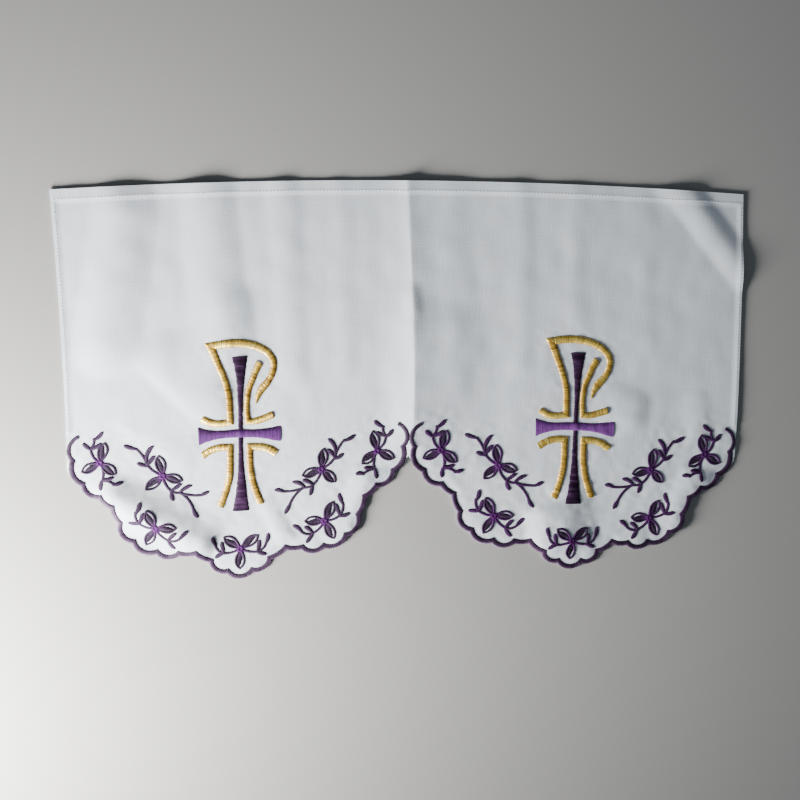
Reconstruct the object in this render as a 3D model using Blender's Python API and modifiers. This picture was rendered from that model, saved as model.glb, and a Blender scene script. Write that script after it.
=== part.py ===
"""Altar cloth: a length of white cloth, two large scallops wide, laid face up on a flat surface.

Units are metres, +Z up. The cloth is drawn flat first. Flat x runs across it from the joint of the
two scallops, and flat y runs up from the line through the middles of the two crosses. Everything
is made flat, and laid() then bows the cloth a little, as it lies, and lifts it along its folds.
The embroidery is satin stitch: low domed bands that follow the laid cloth, a thread above it.
The origin ends up on the surface, under the middle of the cloth.
"""

import math

import bmesh
import bpy
import numpy as np
from mathutils import Vector
from mathutils.bvhtree import BVHTree

MM = 0.001

# The cloth
PITCH = 0.300  # a large scallop, from joint to joint
TOP = 0.215  # the top edge, above the middles of the crosses
NOTCH = -0.0256  # the point of the V between two scallops
NOTCH_DEPTH = 0.0035  # how far below that point the V meets the lobes
THICKNESS = 0.0012
TOP_HEM = 0.010  # the turned hem of the top edge
SIDE_HEM = 0.004  # the rolled hems of the sides
SIDE_HEM_END = 0.008  # where those end, above the curls of the edging
HEM_RISE = 0.0006  # how much thicker the cloth is at a hem
HEM_STEP = 0.0006  # the width over which it thickens
GRID_STEPS = 29  # the cloth's mesh lines, across from the crease to a side and up
CREASE_LINES = [0.0, 0.004, 0.009, 0.015, 0.0235, 0.033]  # its closer lines beside the crease
GAP = 0.0003  # between a band of stitching and the cloth
NEAR = 0.0017  # how far round a point of a band the cloth's height is felt for

# The satin edging
EDGE_WIDTH = 0.0033
CURL_WIDTH = 0.75  # the share of that width in the curls at both ends
EDGE_HEIGHT = 0.0008
RIM = 0.0007  # the bare cut edge outside it
LOBE_STEPS = 5  # straight stretches to a lobe

# How the cloth lies: each is a shift at one half pitch from the origin
BOW = -0.0024  # both ends drop towards the hem
LEAN = -0.0028  # the top leans left
FLARE = -0.0018  # the top is a little narrower than the hem
CREASE_START = 0.0033  # the pressed crease, across from the joint, level with the crosses
CREASE_SLOPE = -0.012  # how far it leans, across for each metre up
SETTLE = 0.0003  # a rise under this lies flat on the surface
SOFTEN = 0.0008  # the rise over which the cloth leaves the surface

# The lobes of the edging, from the middle of a large scallop outwards. Each row is the inward
# cusp at the outer end of a lobe, in millimetres, and that lobe's rise as a share of its chord.
LOBE_COLUMNS = ("across", "up", "rise")
LOBES = (
    (10.0, -124.7, 0.31),
    (23.9, -115.6, 0.29),
    (38.9, -105.6, 0.10),
    (55.0, -106.1, 0.10),
    (72.9, -104.9, 0.29),
    (91.4, -95.0, 0.27),
    (101.4, -78.4, 0.28),
    (107.8, -60.7, 0.10),
    (119.8, -50.4, 0.10),
    (134.2, -38.3, 0.26),
    (142.7, -17.1, 0.22),
    (139.2, 2.8, 0.28),
)

# The folds, in millimetres on the flat cloth. Each is a ridge from one point to another, with its
# height, its reach to the left and to the right of that way, and how far it fades past its ends.
FOLD_COLUMNS = ("x0", "y0", "x1", "y1", "height", "left", "right", "fade")
FOLDS = {
    "left edge roll": (-264, 88, -243, 190, 5.2, 36, 42, 46),
    "left diagonal": (-184, 22, -223, 62, 1.9, 22, 60, 26),
    "left low diagonal": (-204, -22, -250, 14, 1.4, 20, 40, 24),
    "left wave 1": (-166, 74, -170, 240, 3.1, 40, 36, 30),
    "left wave 2": (-104, 50, -107, 240, 1.7, 28, 28, 30),
    "left wave 3": (-56, 50, -58, 240, 1.1, 26, 24, 30),
    "left pucker": (-148, 96, -151, 108, 2.0, 34, 18, 26),
    "left hem roll": (-260, -58, -188, -106, 5.0, 27, 26, 18),
    "left inner lift": (-78, -74, -64, -98, 1.6, 24, 26, 20),
    "left hem lift": (-40, -48, -52, -90, 2.6, 26, 24, 22),
    "crease flank": (3, 0, 2, 84, 1.3, 24, 90, 34),
    "crease knuckle": (2, 92, 1, 108, 1.0, 12, 14, 20),
    "right wave 1": (40, 40, 40, 240, 0.5, 20, 26, 24),
    "right wave 2": (100, 56, 101, 240, 1.2, 28, 24, 30),
    "right wave 3": (146, 100, 148, 240, 1.1, 22, 26, 24),
    "right wave 4": (213, 80, 214, 240, 0.9, 26, 24, 30),
    "right corner fold": (238, 222, 304, 146, 3.4, 24, 26, 20),
    "right dimple": (200, 12, 202, 22, 1.8, 50, 26, 22),
    "right bottom fold": (131, -112, 124, -82, 5.4, 30, 52, 16),
    "right bottom lift": (200, -112, 216, -106, 1.8, 22, 22, 16),
    "right hem lift": (263, -46, 250, -92, 3.0, 30, 28, 24),
    "right edge lift": (264, -2, 262, 30, 1.5, 26, 24, 20),
}
# The pressed crease: its height in millimetres at each place up, and its reach to each side
CREASE_COLUMNS = ("up", "height")
CREASE = ((-26.0, 3.0), (10.0, 4.8), (95.0, 4.8), (130.0, 3.6), (215.0, 2.8))
CREASE_REACH_LEFT = 0.046
CREASE_REACH_RIGHT = 0.096
CREASE_POWER = 1.6  # how it flattens out towards that reach
PINCH_HEIGHT = 0.0009  # the sharper ridge along its crest
PINCH_REACH_LEFT = 0.012
PINCH_REACH_RIGHT = 0.026

# Places where the laid cloth is pushed aside, in millimetres on the flat cloth: the middle of the
# place, its reach, and the shift there to the right and away.
SHIFT_COLUMNS = ("across", "up", "reach", "right", "away")
SHIFTS = {
    "left end": (-256, -70, 52, -1.6, 2.3),
    "left outer lobe": (-228, -104, 26, 0.4, 0.6),
    "left middle lobe": (-150, -124, 28, -0.9, -1.6),
    "left inner lobes": (-64, -98, 30, 0.1, -1.0),
    "left cross": (-150, 0, 85, 0.6, -0.8),
    "left outer sprig": (-215, -38, 28, 2.4, -0.2),
    "joint": (-8, -25, 46, -2.2, 0.5),
    "right inner lobes": (92, -98, 38, 1.6, 0.4),
    "right outer lobes": (222, -104, 45, -1.7, 0.1),
    "right cross": (150, 0, 85, 0.4, 1.6),
    "right outer sprig": (215, -30, 30, 0.9, -2.0),
    "right end": (272, -52, 34, -2.0, -0.5),
}

# The cross and its loop: bands of satin stitch, in millimetres from the middle of the cross. Each
# row is a point of the band's centre line and the band's width there. Runs that share their end
# point meet in a mitred corner.
BAND_COLUMNS = ("across", "up", "width")
GOLD_HEIGHT = 0.0011
CROSS_PLACE = (-0.0009, 0.0007)
GOLD_BANDS = {
    "gold_loop": (
        ((-33.1, 14.2, 5.8), (-26.5, 10.2, 6.2), (-20.7, 8.8, 6.3), (-14.9, 8.8, 6.0), (-8.8, 9.6, 5.8)),
        (
            (-8.8, 9.6, 5.8),
            (-8.9, 20.3, 5.8),
            (-9.2, 32.3, 5.8),
            (-10.8, 41.0, 5.7),
            (-13.4, 50.0, 5.7),
            (-17.4, 61.1, 6.0),
            (-21.0, 71.0, 6.6),
            (-23.6, 77.2, 6.8),
        ),
        (
            (-23.6, 77.2, 6.8),
            (-15.5, 78.6, 6.8),
            (-5.0, 79.4, 6.8),
            (5.5, 78.6, 6.8),
            (15.7, 75.7, 6.5),
            (24.2, 70.9, 6.2),
            (29.2, 64.6, 5.9),
            (30.3, 58.6, 5.7),
            (28.6, 51.4, 5.5),
            (24.8, 44.6, 6.0),
            (19.8, 38.9, 6.8),
            (16.2, 33.0, 4.8),
            (13.7, 25.4, 1.2),
        ),
    ),
    "gold_spur": (
        (
            (18.2, 61.2, 6.4),
            (14.8, 54.9, 5.8),
            (11.4, 46.8, 5.5),
            (8.0, 38.4, 5.1),
            (6.2, 28.6, 4.8),
            (5.9, 19.6, 4.8),
            (6.7, 9.6, 5.2),
        ),
        ((6.7, 9.6, 5.2), (12.3, 9.7, 5.8), (19.5, 11.5, 6.2), (28.6, 14.9, 6.6)),
    ),
    "gold_foot_west": (
        (
            (-33.1, -19.4, 6.6),
            (-26.9, -15.5, 6.5),
            (-19.9, -13.3, 6.4),
            (-14.1, -12.8, 6.2),
            (-9.3, -13.1, 6.0),
        ),
        (
            (-9.3, -13.1, 6.0),
            (-9.4, -22.4, 5.8),
            (-9.3, -31.0, 5.8),
            (-9.9, -40.2, 5.8),
            (-12.0, -50.0, 5.8),
            (-14.6, -58.7, 5.9),
            (-17.6, -67.3, 6.6),
        ),
    ),
    "gold_foot_east": (
        (
            (17.8, -66.2, 6.6),
            (15.5, -60.0, 6.2),
            (12.2, -51.0, 6.0),
            (9.8, -41.8, 5.8),
            (8.4, -31.9, 5.8),
            (8.0, -23.2, 5.7),
            (8.1, -13.2, 5.9),
        ),
        ((8.1, -13.2, 5.9), (12.8, -13.3, 6.3), (18.7, -14.0, 6.4), (25.3, -16.1, 6.6), (31.0, -19.9, 6.9)),
    ),
}
# The two bars also have their height in each row, and how far the band is lifted there: the
# crossbar is sewn over the narrow middle of the upright.
BAR_COLUMNS = ("across", "up", "width", "height", "lift")
BAR_BANDS = {
    "crossbar": (
        (
            (-36.3, -1.9, 16.6, 0.9, 0.0),
            (-32.0, -1.8, 13.0, 0.9, 0.0),
            (-27.0, -1.7, 10.0, 0.9, 0.0),
            (-21.0, -1.4, 7.8, 0.9, 0.0),
            (-13.0, -1.0, 7.1, 0.9, 0.0),
            (-7.5, -0.8, 7.2, 0.9, 0.0),
            (-2.6, -0.8, 7.3, 0.8, 0.65),
            (2.6, -0.9, 7.3, 0.8, 0.65),
            (7.5, -1.1, 7.2, 0.9, 0.0),
            (14.0, -1.5, 7.5, 0.9, 0.0),
            (22.0, -1.8, 9.3, 0.9, 0.0),
            (29.0, -2.2, 12.2, 0.9, 0.0),
            (35.0, -2.3, 14.0, 0.9, 0.0),
        ),
    ),
    "upright": (
        (
            (1.1, 67.0, 13.4, 0.9, 0.0),
            (1.2, 61.0, 10.9, 0.9, 0.0),
            (1.1, 55.0, 9.0, 0.9, 0.0),
            (0.9, 47.0, 7.0, 0.8, 0.0),
            (0.5, 34.0, 5.0, 0.7, 0.0),
            (0.2, 18.0, 4.0, 0.6, 0.0),
            (0.0, 5.0, 3.9, 0.4, 0.0),
            (0.0, -1.2, 3.8, 0.35, 0.0),
            (-0.1, -7.0, 3.9, 0.4, 0.0),
            (0.0, -20.0, 4.3, 0.6, 0.0),
            (0.3, -35.0, 5.6, 0.7, 0.0),
            (0.6, -47.5, 8.0, 0.8, 0.0),
            (0.6, -59.5, 11.0, 0.9, 0.0),
            (0.5, -67.0, 13.1, 0.9, 0.0),
            (0.5, -72.0, 14.6, 0.9, 0.0),
        ),
    ),
}

# The sprigs, in millimetres from the sprig's knot, for the right half of a large scallop. Each row
# is a petal, a stem or a leaf: an arc from one point to another, with its bow to the left as a
# share of its length.
SPRIG_COLUMNS = ("kind", "x0", "y0", "x1", "y1", "bow")
SPRIGS = {
    "side": (
        ("petal", 0.0, 0.0, 2.3, 18.8, 0.0),
        ("petal", 0.0, 0.0, -16.9, -5.1, 0.0),
        ("petal", 0.0, 0.0, 12.8, -12.2, 0.0),
        ("stem", 0.0, 0.0, 12.2, 10.4, -0.08),
        ("stem", 12.2, 10.4, 20.6, 26.0, 0.07),
        ("leaf", 20.0, 25.4, 30.5, 29.9, -0.05),
        ("leaf", 12.6, 14.2, 6.1, 27.8, -0.14),
        ("leaf", 12.0, 10.2, 5.5, 18.4, -0.04),
        ("leaf", 11.6, 9.0, 19.8, 13.1, -0.05),
        ("stem", 0.0, 0.0, -7.9, -14.9, 0.09),
        ("stem", -7.9, -14.9, -15.6, -16.6, 0.08),
        ("leaf", -7.8, -14.0, -16.3, -8.7, -0.03),
        ("leaf", -7.8, -14.6, -10.2, -23.6, 0.05),
        ("leaf", -15.0, -16.2, -25.6, -10.4, -0.10),
        ("stem", -15.4, -16.4, -34.6, -19.4, 0.06),
        ("leaf", -33.8, -19.6, -41.3, -17.0, -0.04),
        ("stem", -15.4, -16.4, -28.2, -32.5, -0.09),
        ("leaf", -27.9, -31.6, -32.3, -39.9, 0.04),
    ),
    "far": (
        ("petal", 0.0, 0.0, -4.3, 18.1, 0.0),
        ("petal", 0.0, 0.0, -13.7, -11.3, 0.0),
        ("petal", 0.0, 0.0, 15.6, -7.0, 0.0),
        ("stem", 0.0, 0.0, 7.8, 13.7, -0.12),
        ("stem", 7.8, 13.7, 4.8, 22.6, 0.12),
        ("leaf", 5.4, 21.6, -2.9, 28.0, 0.08),
        ("leaf", 7.6, 12.6, 14.0, 19.2, -0.04),
        ("leaf", 7.6, 13.4, -1.2, 17.6, 0.05),
        ("stem", 0.0, 0.0, -2.3, -16.9, -0.10),
        ("stem", -2.3, -16.9, -12.9, -20.9, -0.12),
        ("leaf", -12.0, -20.7, -19.6, -19.7, -0.04),
        ("leaf", -2.1, -15.4, -11.7, -14.5, 0.06),
        ("leaf", -1.9, -16.2, -0.8, -25.2, 0.03),
    ),
    "low": (
        ("petal", 0.0, 0.0, 7.6, 17.1, 0.0),
        ("petal", 0.0, 0.0, -17.4, -0.1, 0.0),
        ("petal", 0.0, 0.0, 8.8, -16.6, 0.0),
        ("stem", 0.0, 0.0, 13.8, 4.9, -0.09),
        ("stem", 13.8, 4.9, 16.4, 16.1, -0.10),
        ("leaf", 16.4, 14.6, 13.1, 24.6, 0.06),
        ("leaf", 13.6, 4.8, 10.2, 15.0, 0.03),
        ("leaf", 13.4, 4.4, 22.6, 6.2, -0.03),
        ("stem", 0.0, 0.0, -10.5, -11.9, 0.09),
        ("stem", -10.5, -11.9, -21.0, -9.8, 0.14),
        ("leaf", -20.2, -10.4, -27.8, -3.3, -0.05),
        ("leaf", -10.6, -11.4, -17.6, -4.9, -0.05),
        ("leaf", -10.2, -11.6, -16.1, -20.4, 0.04),
    ),
    "middle": (
        ("petal", 0.0, 0.0, 14.9, 11.2, 0.0),
        ("petal", 0.0, 0.0, -14.9, 11.2, 0.0),
        ("petal", 0.0, 0.0, 0.0, -18.8, 0.0),
        ("stem", 0.0, 0.0, 14.6, -3.9, -0.07),
        ("stem", 14.6, -3.9, 22.4, 3.9, -0.16),
        ("leaf", 22.0, 3.2, 24.4, 12.4, -0.05),
        ("leaf", 14.9, -3.4, 16.6, 6.6, -0.03),
        ("leaf", 14.0, -3.6, 22.4, -7.6, 0.03),
        ("stem", 0.0, 0.0, -14.6, -3.9, 0.07),
        ("stem", -14.6, -3.9, -22.4, 3.9, 0.16),
        ("leaf", -22.0, 3.2, -24.4, 12.4, 0.05),
        ("leaf", -14.9, -3.4, -16.6, 6.6, 0.03),
        ("leaf", -14.0, -3.6, -22.4, -7.6, -0.03),
    ),
}
# Where the sprigs' knots are, in millimetres from the middle of the cross, right half.
SPRIG_PLACES = {"side": (70.4, -36.1), "far": (121.6, -21.1), "low": (73.8, -83.8), "middle": (0.0, -106.4)}
STROKE_WIDTH = {"petal": 0.0100, "stem": 0.0021, "leaf": 0.0039}
STROKE_HEIGHT = {"petal": 0.0008, "stem": 0.0006, "leaf": 0.0007}
STROKE_STEPS = {"petal": 6, "stem": 3, "leaf": 3}
# How wide a stroke is at places along it, from 0 at its start to 1 at its tip
SHAPE_COLUMNS = ("along", "width")
STROKE_SHAPE = {
    "petal": ((0.0, 0.10), (0.17, 0.45), (0.33, 0.76), (0.5, 0.97), (0.67, 0.98), (0.83, 0.80), (1.0, 0.14)),
    "stem": ((0.0, 1.0), (1.0, 1.0)),
    "leaf": ((0.0, 0.55), (0.25, 0.78), (0.5, 0.96), (0.7, 1.0), (0.87, 0.84), (1.0, 0.42)),
}
STROKE_SINK = 0.0003  # how far a stroke reaches below the cloth's face before it is cut level
STROKE_SINK_STEP = 0.00002  # how much further each next stroke of a sprig reaches
KNOT_RADIUS = 0.0028
KNOT_HEIGHT = 0.0011

# Cross-sections of a band: across from -1 to 1, and height as a share of the band's
DOME = ((-1.0, 0.0), (-0.66, 0.78), (0.0, 1.0), (0.66, 0.78), (1.0, 0.0))
LOW_DOME = ((-1.0, 0.0), (-0.5, 0.9), (0.5, 0.9), (1.0, 0.0))
RIDGE = ((-1.0, 0.0), (0.0, 1.0), (1.0, 0.0))

COLOURS = {
    "cloth": ((0.82, 0.84, 0.87), 0.75),
    "edging": ((0.075, 0.020, 0.105), 0.45),
    "gold": ((0.62, 0.40, 0.08), 0.38),
    "crossbar": ((0.24, 0.055, 0.36), 0.40),
    "upright": ((0.085, 0.022, 0.125), 0.42),
    "sprig": ((0.050, 0.014, 0.070), 0.48),
}


def row(columns, values):
    """A table's row as a dictionary by column name."""
    return dict(zip(columns, values))


# Flat outlines of the hem


def arc_circle(p, q, rise):
    """The centre and radius of the arc from p to q that bulges right of that way by rise of its chord."""
    chord = q - p
    length = chord.length
    outward = Vector((chord.y, -chord.x)) / length
    sagitta = rise * length
    radius = (length**2 / 4 + sagitta**2) / (2 * sagitta)
    return (p + q) / 2 + outward * (sagitta - radius), radius


def hem_lobes():
    """The lobes of one large scallop from left to right: (start cusp, end cusp, centre, radius)."""
    rows = [row(LOBE_COLUMNS, values) for values in LOBES]
    right = [(Vector((r["across"], r["up"])) * MM, r["rise"]) for r in rows]
    left = [(Vector((-point.x, point.y)), rise) for point, rise in reversed(right)]
    cusps = [point for point, _ in left] + [point for point, _ in right]
    rises = [rise for _, rise in left[:-1]] + [right[0][1]] + [rise for _, rise in right[1:]]
    return [(p, q, *arc_circle(p, q, rise)) for p, q, rise in zip(cusps, cusps[1:], rises)]


def circles_meet(first, second, near):
    """Where two circles (centre, radius) cross, at the crossing nearer to the point near."""
    (c0, r0), (c1, r1) = first, second
    between = c1 - c0
    distance = between.length
    along = (distance**2 + r0**2 - r1**2) / (2 * distance)
    half = math.sqrt(max(r0**2 - along**2, 0.0))
    foot = c0 + between * (along / distance)
    side = Vector((-between.y, between.x)) * (half / distance)
    return min((foot + side, foot - side), key=lambda point: (point - near).length)


def hem_line(offset):
    """The lobes' line, set out by offset, as points."""
    lobes = hem_lobes()
    shares = [CURL_WIDTH, *[1.0] * (len(lobes) - 2), CURL_WIDTH]
    radii = [radius + offset * share for (_, _, _, radius), share in zip(lobes, shares)]
    circles = [(centre, radius) for (_, _, centre, _), radius in zip(lobes, radii)]
    first = circles[0][0] + (lobes[0][0] - circles[0][0]).normalized() * radii[0]
    last = circles[-1][0] + (lobes[-1][1] - circles[-1][0]).normalized() * radii[-1]
    joints = [circles_meet(one, two, lobe[1]) for one, two, lobe in zip(circles, circles[1:], lobes)]
    ends = [first, *joints, last]
    points = []
    for (centre, radius), start, end in zip(circles, ends, ends[1:]):
        a0 = math.atan2(start.y - centre.y, start.x - centre.x)
        a1 = math.atan2(end.y - centre.y, end.x - centre.x)
        if a1 < a0:
            a1 += 2 * math.pi
        for i in range(LOBE_STEPS):
            angle = a0 + (a1 - a0) * i / LOBE_STEPS
            points.append(centre + Vector((math.cos(angle), math.sin(angle))) * radius)
    return points + [last]


def cloth_outline():
    """The flat cloth's outline: down the left side, along both scallops, and up the right side."""
    half = PITCH / 2
    scallop = [p for p in hem_line(EDGE_WIDTH + RIM) if p.y < NOTCH - NOTCH_DEPTH and abs(p.x) < half]
    points = [Vector((-PITCH, TOP)), Vector((-PITCH, NOTCH))]
    for middle in (-half, half):
        points += [p + Vector((middle, 0)) for p in scallop]
        points.append(Vector((middle + half, NOTCH)))
    return points + [Vector((PITCH, TOP)), Vector((0, TOP))]


# How the flat cloth lies


def ridge(x, y, fold):
    """The height of one fold at a point of the flat cloth."""
    start = np.array((fold["x0"], fold["y0"])) * MM
    way = np.array((fold["x1"], fold["y1"])) * MM - start
    length = math.hypot(*way)
    way = way / length
    along = (x - start[0]) * way[0] + (y - start[1]) * way[1]
    aside = (y - start[1]) * way[0] - (x - start[0]) * way[1]
    past = np.maximum(np.maximum(-along, along - length), 0) / (fold["fade"] * MM)
    across = np.abs(aside) / (np.where(aside > 0, fold["left"], fold["right"]) * MM)
    fall = (1 + np.cos(math.pi * np.minimum(past, 1))) / 2
    shape = (1 + np.cos(math.pi * np.minimum(across, 1))) / 2
    return fold["height"] * MM * fall * shape


def fold_height(x, y):
    """How far the laid cloth's underside is above the surface, at points of the flat cloth."""
    aside = x - CREASE_START - CREASE_SLOPE * y
    reach = np.where(aside < 0, CREASE_REACH_LEFT, CREASE_REACH_RIGHT)
    places, heights = np.array(CREASE).T * MM
    rise = np.interp(y, places, heights) * np.maximum(1 - np.abs(aside) / reach, 0) ** CREASE_POWER
    reach = np.where(aside < 0, PINCH_REACH_LEFT, PINCH_REACH_RIGHT)
    rise = rise + PINCH_HEIGHT * np.maximum(1 - np.abs(aside) / reach, 0) ** 2
    for values in FOLDS.values():
        rise = rise + ridge(x, y, row(FOLD_COLUMNS, values))
    rise = np.maximum(rise - SETTLE, 0)
    return np.where(rise < SOFTEN, rise**2 / (2 * SOFTEN), rise - SOFTEN / 2)


def lie(x, y):
    """Where a point of the flat cloth lies on the surface, before centring."""
    u, v = 2 * x / PITCH, 2 * y / PITCH
    across, up = x + FLARE * u * v + LEAN * v**2, y + BOW * u**2
    for values in SHIFTS.values():
        shift = row(SHIFT_COLUMNS, values)
        off = np.hypot(x - shift["across"] * MM, y - shift["up"] * MM) / (shift["reach"] * MM)
        share = np.exp(-(off**2)) * MM
        across, up = across + shift["right"] * share, up + shift["away"] * share
    return across, up


def laid(x, y):
    """The place on the surface of points of the flat cloth, with the origin under its middle."""
    outline = np.array([tuple(point) for point in cloth_outline()])
    box = np.array(lie(outline[:, 0], outline[:, 1]))
    middle = (box.max(axis=1) + box.min(axis=1)) / 2
    across, up = lie(x, y)
    return across - middle[0], up - middle[1]


def points_of(mesh):
    """A mesh's vertices as an array, a row for each."""
    places = np.empty(len(mesh.vertices) * 3)
    mesh.vertices.foreach_get("co", places)
    return places.reshape(-1, 3)


def move_points(mesh, places):
    mesh.vertices.foreach_set("co", np.ascontiguousarray(places).ravel())
    mesh.update()


# Objects, collections and materials


def clear_scene():
    for obj in list(bpy.data.objects):
        bpy.data.objects.remove(obj, do_unlink=True)


def collection(name):
    made = bpy.data.collections.new(name)
    bpy.context.scene.collection.children.link(made)
    return made


def material(name):
    colour, roughness = COLOURS[name]
    made = bpy.data.materials.new(name)
    made.use_nodes = True
    shader = made.node_tree.nodes["Principled BSDF"]
    shader.inputs["Base Color"].default_value = (*colour, 1.0)
    shader.inputs["Roughness"].default_value = roughness
    shader.inputs["Metallic"].default_value = 0.0
    made.diffuse_color = (*colour, 1.0)
    return made


def add_object(name, mesh, into, look=None, smooth=True):
    obj = bpy.data.objects.new(name, mesh)
    into.objects.link(obj)
    if look is not None:
        obj.data.materials.clear()
        obj.data.materials.append(look)
    if smooth:
        obj.data.shade_smooth()
        obj.data.set_sharp_from_angle(angle=math.radians(40))
    return obj


def evaluated_mesh(obj):
    graph = bpy.context.evaluated_depsgraph_get()
    return bpy.data.meshes.new_from_object(obj.evaluated_get(graph), depsgraph=graph)


def boolean(obj, other, operation):
    modifier = obj.modifiers.new(operation.lower(), "BOOLEAN")
    modifier.operation = operation
    modifier.solver = "EXACT"
    modifier.object = other


# The cloth


def grid_lines(inner, steps, ends):
    """Places of grid lines: the inner ones, then even steps out to the first of ends, then ends."""
    reach = [inner[-1] + (ends[0] - inner[-1]) * i / steps for i in range(1, steps)]
    return [*inner, *reach, *ends]


def outline_cutter(into):
    """A prism of the flat cloth's outline, as a mesh."""
    data = bpy.data.curves.new("outline", "CURVE")
    data.dimensions = "2D"
    data.fill_mode = "BOTH"
    data.extrude = 0.01
    points = cloth_outline()
    spline = data.splines.new("POLY")
    spline.points.add(len(points) - 1)
    for place, point in zip(spline.points, points):
        place.co = (point.x, point.y, 0.0, 1.0)
    spline.use_cyclic_u = True
    curve = bpy.data.objects.new("outline_curve", data)
    into.objects.link(curve)
    mesh = evaluated_mesh(curve)
    bpy.data.objects.remove(curve)
    bm = bmesh.new()
    bm.from_mesh(mesh)
    bmesh.ops.remove_doubles(bm, verts=bm.verts, dist=1e-6)
    bmesh.ops.recalc_face_normals(bm, faces=bm.faces)
    bm.to_mesh(mesh)
    bm.free()
    cutter = add_object("outline_cutter", mesh, into, smooth=False)
    cutter.hide_render = True
    cutter.display_type = "WIRE"
    return cutter


def make_cloth(parts, cutters, look):
    """The flat grid, thickened, cut to the outline, and then laid in its folds."""
    out = grid_lines(CREASE_LINES, GRID_STEPS, [PITCH - SIDE_HEM, PITCH - SIDE_HEM + HEM_STEP])
    xs = [-x for x in reversed(out[1:])] + out
    xs = [-PITCH - 0.006, *xs, PITCH + 0.006]
    ys = grid_lines([-0.150], GRID_STEPS, [TOP - TOP_HEM, TOP - TOP_HEM + HEM_STEP, TOP + 0.006])
    bm = bmesh.new()
    bmesh.ops.create_grid(bm, x_segments=len(xs) - 1, y_segments=len(ys) - 1, size=1.0)
    for vertex in bm.verts:
        i = round((vertex.co.x + 1) / 2 * (len(xs) - 1))
        j = round((vertex.co.y + 1) / 2 * (len(ys) - 1))
        with_crease = (CREASE_START + CREASE_SLOPE * ys[j]) * max(1 - (xs[i] / (PITCH - SIDE_HEM)) ** 2, 0.0)
        vertex.co = (xs[i] + with_crease, ys[j], THICKNESS)
    mesh = bpy.data.meshes.new("cloth")
    bm.to_mesh(mesh)
    bm.free()
    flat = add_object("flat_cloth", mesh, cutters, smooth=False)
    solidify = flat.modifiers.new("thickness", "SOLIDIFY")
    solidify.thickness = THICKNESS
    solidify.offset = -1.0
    boolean(flat, outline_cutter(cutters), "INTERSECT")
    cut = evaluated_mesh(flat)
    bpy.data.objects.remove(flat)
    bm = bmesh.new()
    bm.from_mesh(cut)
    bmesh.ops.remove_doubles(bm, verts=bm.verts, dist=1e-6)
    bmesh.ops.triangulate(bm, faces=bm.faces)
    bm.to_mesh(cut)
    x, y, z = points_of(cut).T
    side_hem = (np.abs(x) > PITCH - SIDE_HEM + HEM_STEP / 2) & (y > SIDE_HEM_END)
    top_hem = y > TOP - TOP_HEM + HEM_STEP / 2
    z = z + np.where((side_hem | top_hem) & (z > THICKNESS / 2), HEM_RISE, 0.0)
    across, up = laid(x, y)
    move_points(cut, np.column_stack([across, up, z + fold_height(x, y)]))
    bm.clear()
    bm.from_mesh(cut)
    surface = BVHTree.FromBMesh(bm)
    bm.free()
    add_object("cloth", cut, parts, look)
    return surface


# The stitching


def highest_near(surface, x, y):
    """The height of the cloth's face at a place, or its highest just round that place."""
    down = Vector((0, 0, -1))
    around = [(x, y), (x - NEAR, y), (x + NEAR, y), (x, y - NEAR), (x, y + NEAR)]
    hits = [surface.ray_cast(Vector((*place, 0.1)), down)[0] for place in around]
    return max(hit.z for hit in hits if hit)


def lay_on(mesh, surface, middle, gap=GAP):
    """Lays a flat piece of stitching on the cloth, with its own origin at flat point middle."""
    x, y, z = points_of(mesh).T
    across, up = laid(x + middle[0], y + middle[1])
    face = [highest_near(surface, *place) for place in zip(across, up)]
    move_points(mesh, np.column_stack([across, up, z + face + gap]))


def smooth_run(rows, steps):
    """The rows of a table in metres, with a smooth curve of steps from each row to the next."""
    values = np.array(rows, float) * MM
    before, after = 2 * values[0] - values[1], 2 * values[-1] - values[-2]
    values = np.vstack([before, values, after])
    out = []
    for p0, p1, p2, p3 in zip(values, values[1:], values[2:], values[3:]):
        for t in np.arange(steps) / steps:
            bend = (2 * p0 - 5 * p1 + 4 * p2 - p3) * t**2 + (3 * p1 - p0 - 3 * p2 + p3) * t**3
            out.append((2 * p1 + (p2 - p0) * t + bend) / 2)
    return [*out, values[-2]]


def stations_of(runs, steps):
    """Cross-lines of a band: (point, half of the line, to the left, its row), mitred at corners."""
    lines = [smooth_run(rows, steps) for rows in runs]
    stations = []
    for k, line in enumerate(lines):
        points = [Vector(values[:2]) for values in line]
        ways = [(q - p).normalized() for p, q in zip(points, points[1:])]
        before = ways[0]
        if k:
            before = (points[0] - Vector(lines[k - 1][-2][:2])).normalized()
        if k + 1 < len(lines):
            points.pop()
        for point, values, behind, ahead in zip(points, line, [before, *ways], [*ways, ways[-1]]):
            way = (ahead + behind).normalized()
            mitre = min(1 / way.dot(ahead), 1.9)
            stations.append((point, Vector((-way.y, way.x)) * (values[2] / 2 * mitre), values))
    return stations


def band_mesh(name, rows):
    """A closed mesh lofted through rows of points, each row one cross-section from left to right."""
    bm = bmesh.new()
    rings = [[bm.verts.new(point) for point in ring] for ring in rows]
    for ring, after in zip(rings, rings[1:]):
        for i in range(len(ring)):
            j = (i + 1) % len(ring)
            corners = []
            for vertex in (ring[i], ring[j], after[j], after[i]):
                if vertex not in corners:
                    corners.append(vertex)
            bm.faces.new(corners)
    bm.faces.new(rings[0][::-1])
    bm.faces.new(rings[-1])
    bmesh.ops.recalc_face_normals(bm, faces=bm.faces)
    mesh = bpy.data.meshes.new(name)
    bm.to_mesh(mesh)
    bm.free()
    return mesh


def gold_mesh(name, runs):
    rows = []
    for point, half, _ in stations_of(runs, 1):
        rows.append([(*(point - half * across), GOLD_HEIGHT * share) for across, share in DOME])
    return band_mesh(name, rows)


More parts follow.
